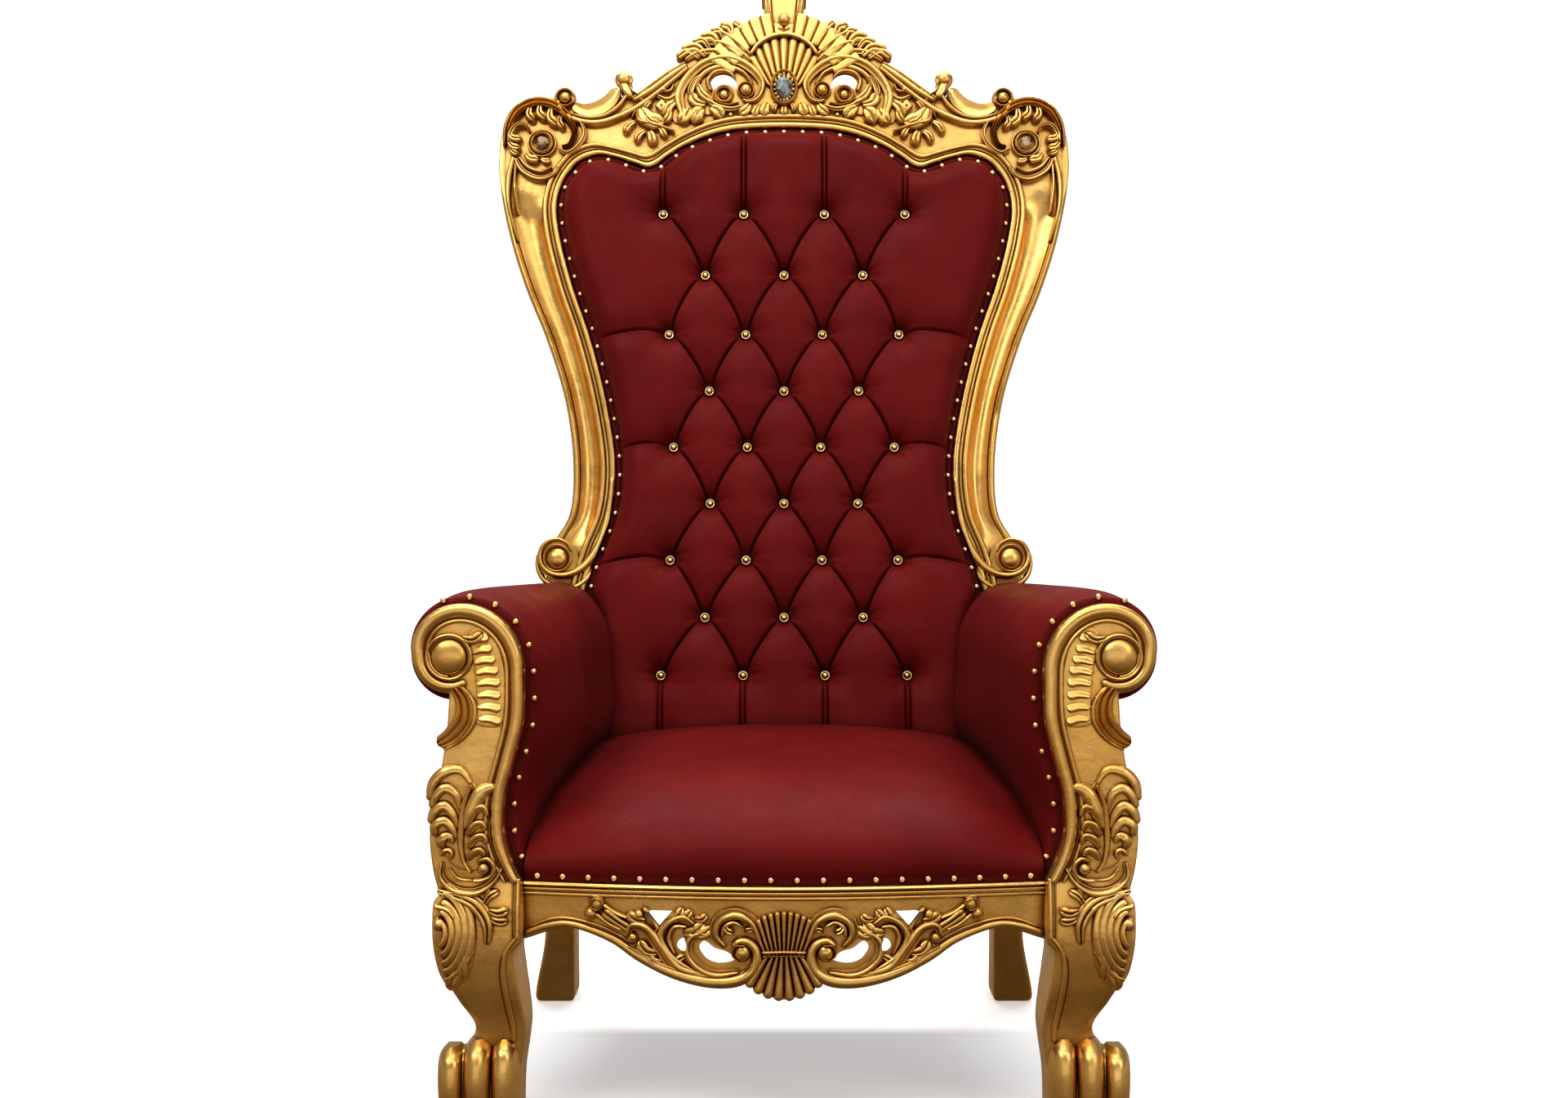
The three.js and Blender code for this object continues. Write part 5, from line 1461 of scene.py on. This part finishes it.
# ---- Putting it together ----
def pair(right, material, slot, node):
    """Finishes the right-hand piece and its mirror image."""
    name = right.name
    right.name = f"{name}_right"
    points = np.array([corner.co for corner in right.data.vertices]) / MM
    faces = [list(face.vertices) for face in right.data.polygons]
    left = solid(f"{name}_left", flipped((points, faces)))
    finished(right, material, slot, f"{node}_right")
    finished(left, material, slot, f"{node}_left")
    return right, left


finished(back_frame(), GOLD, "gilded_wood", "back_frame")
pair(front_leg(), GOLD, "gilded_wood", "front_leg")
finished(front_rail(), GOLD, "gilded_wood", "front_rail")
pair(solid("side_rail_moulded", side_rail()), GOLD, "gilded_wood", "side_rail")
finished(solid("back_rail_plain", back_rail()), GOLD, "gilded_wood", "back_rail")
pair(solid("rear_leg_swept", rear_leg()), GOLD, "gilded_wood", "rear_leg")

tufted = finished(solid("tufted_back", back_cushion(), crease=0), LEATHER, "leather", "back_cushion")
finished(solid("outside_back_panel", outside_back()), LEATHER, "leather", "outside_back")
for padded_arm in pair(solid("padded_arm", arm()), LEATHER, "leather", "arm"):
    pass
domed_seat = finished(solid("domed_seat", seat()), LEATHER, "leather", "seat")

for node_name, place_across, button_line in button_places():
    finished(solid(f"{node_name}_domed", button(place_across, button_line)), BRASS, "button_brass", node_name)
for nails_name, nails in (("back_nails", back_nails()), ("rear_nails", rear_nails()),
                          ("arm_nails", both_sides(arm_nails())), ("seat_nails", seat_nails())):
    finished(joined(nails_name, nails), BRASS, "button_brass")

crest_stone = solid("crest_stone", cut_stone(CREST_JEWEL, 15, 22, 2, 8, 12), crease=5)
finished(crest_stone, BLUE_GLASS, "blue_stone", "crest_jewel")
corner_stone = solid("corner_stone", cut_stone(CORNER_JEWEL, 12.5, 12.5, 0.5, 7, 10))
for stone in pair(corner_stone, AMBER_GLASS, "amber_stone", "corner_jewel"):
    shade(stone, crease=5)

# ---- Studio ----
FLOOR_RADIUS = 4.6
FLOOR_BEND = 1.8
VIEW_BACK = 2.33  # from the plane of the arm facings to the camera
VIEW_HEIGHT = 0.765
LENS = 40.63
camera = bpy.data.objects.new("camera", bpy.data.cameras.new("camera"))
camera.data.lens = LENS
camera.data.sensor_width = 36
camera.location = (0, ORIGIN_Y * MM - VIEW_BACK, VIEW_HEIGHT)
camera.rotation_euler = (math.pi / 2, 0, 0)
bpy.context.scene.collection.objects.link(camera)
bpy.context.scene.camera = camera


def backdrop():
    """A pale floor just under the feet that sweeps up into a wall all round."""
    bend = np.linspace(0.1, np.pi / 2, 12)
    curve = zip(FLOOR_RADIUS + FLOOR_BEND * np.sin(bend), FLOOR_BEND * (1 - np.cos(bend)))
    profile = [(2, 0), (FLOOR_RADIUS, 0), *curve, (FLOOR_RADIUS + FLOOR_BEND, 7)]
    turn = full_turn(72)
    points = [(r * math.cos(a), r * math.sin(a), z - 0.0005) for r, z in profile for a in turn]
    count = len(turn)
    faces = [list(range(count))]
    for first in range(0, count * (len(profile) - 1), count):
        for i in range(count):
            j = (i + 1) % count
            faces.append([first + i, first + count + i, first + count + j, first + j])
    mesh = bpy.data.meshes.new("backdrop")
    mesh.from_pydata(points, [], faces)
    mesh.shade_smooth()
    look = Shader("backdrop_paper")
    paper = look.mix(look.noise(3), (0.80, 0.80, 0.80), (0.83, 0.83, 0.83))
    glow = {"Emission_Color": (1, 1, 1), "Emission_Strength": 0.42}
    mesh.materials.append(look.finish(Base_Color=paper, Roughness=0.9, **glow))
    sweep = link("backdrop", mesh)
    sweep.visible_glossy = sweep.visible_diffuse = sweep.visible_shadow = False


def softbox(name, place, aim, size, power, colour=(1, 1, 1), gloss_only=False):
    light = bpy.data.lights.new(name, "AREA")
    light.shape = "RECTANGLE"
    light.size, light.size_y = size
    light.energy = power
    light.color = colour
    box = bpy.data.objects.new(name, light)
    box.location = place
    box.rotation_euler = (Vector(aim) - Vector(place)).to_track_quat("-Z", "Y").to_euler()
    box.visible_diffuse = not gloss_only
    bpy.context.scene.collection.objects.link(box)


def surroundings():
    """A dim warm room: dark floor, a brighter band at eye level, and a paler ceiling."""
    world = bpy.data.worlds.new("studio")
    world.use_nodes = True
    tree = world.node_tree
    place = tree.nodes.new("ShaderNodeTexCoord")
    split = tree.nodes.new("ShaderNodeSeparateXYZ")
    height = tree.nodes.new("ShaderNodeMapRange")
    height.inputs["From Min"].default_value = -1
    ramp = tree.nodes.new("ShaderNodeValToRGB")
    tree.links.new(place.outputs["Generated"], split.inputs["Vector"])
    tree.links.new(split.outputs["Z"], height.inputs["Value"])
    tree.links.new(height.outputs["Result"], ramp.inputs["Fac"])
    tree.links.new(ramp.outputs["Color"], tree.nodes["Background"].inputs["Color"])
    stops = [(0.0, (0.10, 0.067, 0.04)), (0.34, (0.25, 0.18, 0.11)), (0.44, (0.42, 0.34, 0.26)),
             (0.50, (0.50, 0.46, 0.41)), (0.57, (0.42, 0.40, 0.38)), (0.68, (0.24, 0.23, 0.22)),
             (0.86, (0.34, 0.34, 0.34)), (1.0, (0.6, 0.6, 0.62))]
    ramp.color_ramp.interpolation = "EASE"
    while len(ramp.color_ramp.elements) < len(stops):
        ramp.color_ramp.elements.new(0.5)
    for element, (at, colour) in zip(ramp.color_ramp.elements, stops):
        element.position = at
        element.color = (*colour, 1)
    bpy.context.scene.world = world


backdrop()
surroundings()
softbox("key", (-2.2, -2.6, 3.6), (0, 0, 0.9), (1.6, 1.2), 47, (1, 0.96, 0.90))
softbox("fill", (2.6, -2.8, 2.2), (0, 0, 0.9), (1.2, 1.6), 20, (1, 0.97, 0.93))
softbox("overhead", (0, -0.7, 3.9), (0, 0, 0.6), (2.6, 1.6), 52, (1, 0.98, 0.95))
softbox("gilding_panel", (0, -4.2, 0.75), (0, 0, 0.75), (5.0, 1.5), 20, (1, 0.93, 0.84), gloss_only=True)
softbox("wall_wash", (0, 1.9, 4.6), (0, 3.4, 1.0), (6, 1), 260)
softbox("floor_wash", (0, -3.2, 4.0), (0, -0.6, 0), (6, 1.2), 60)
bpy.context.scene.view_settings.view_transform = "Standard"
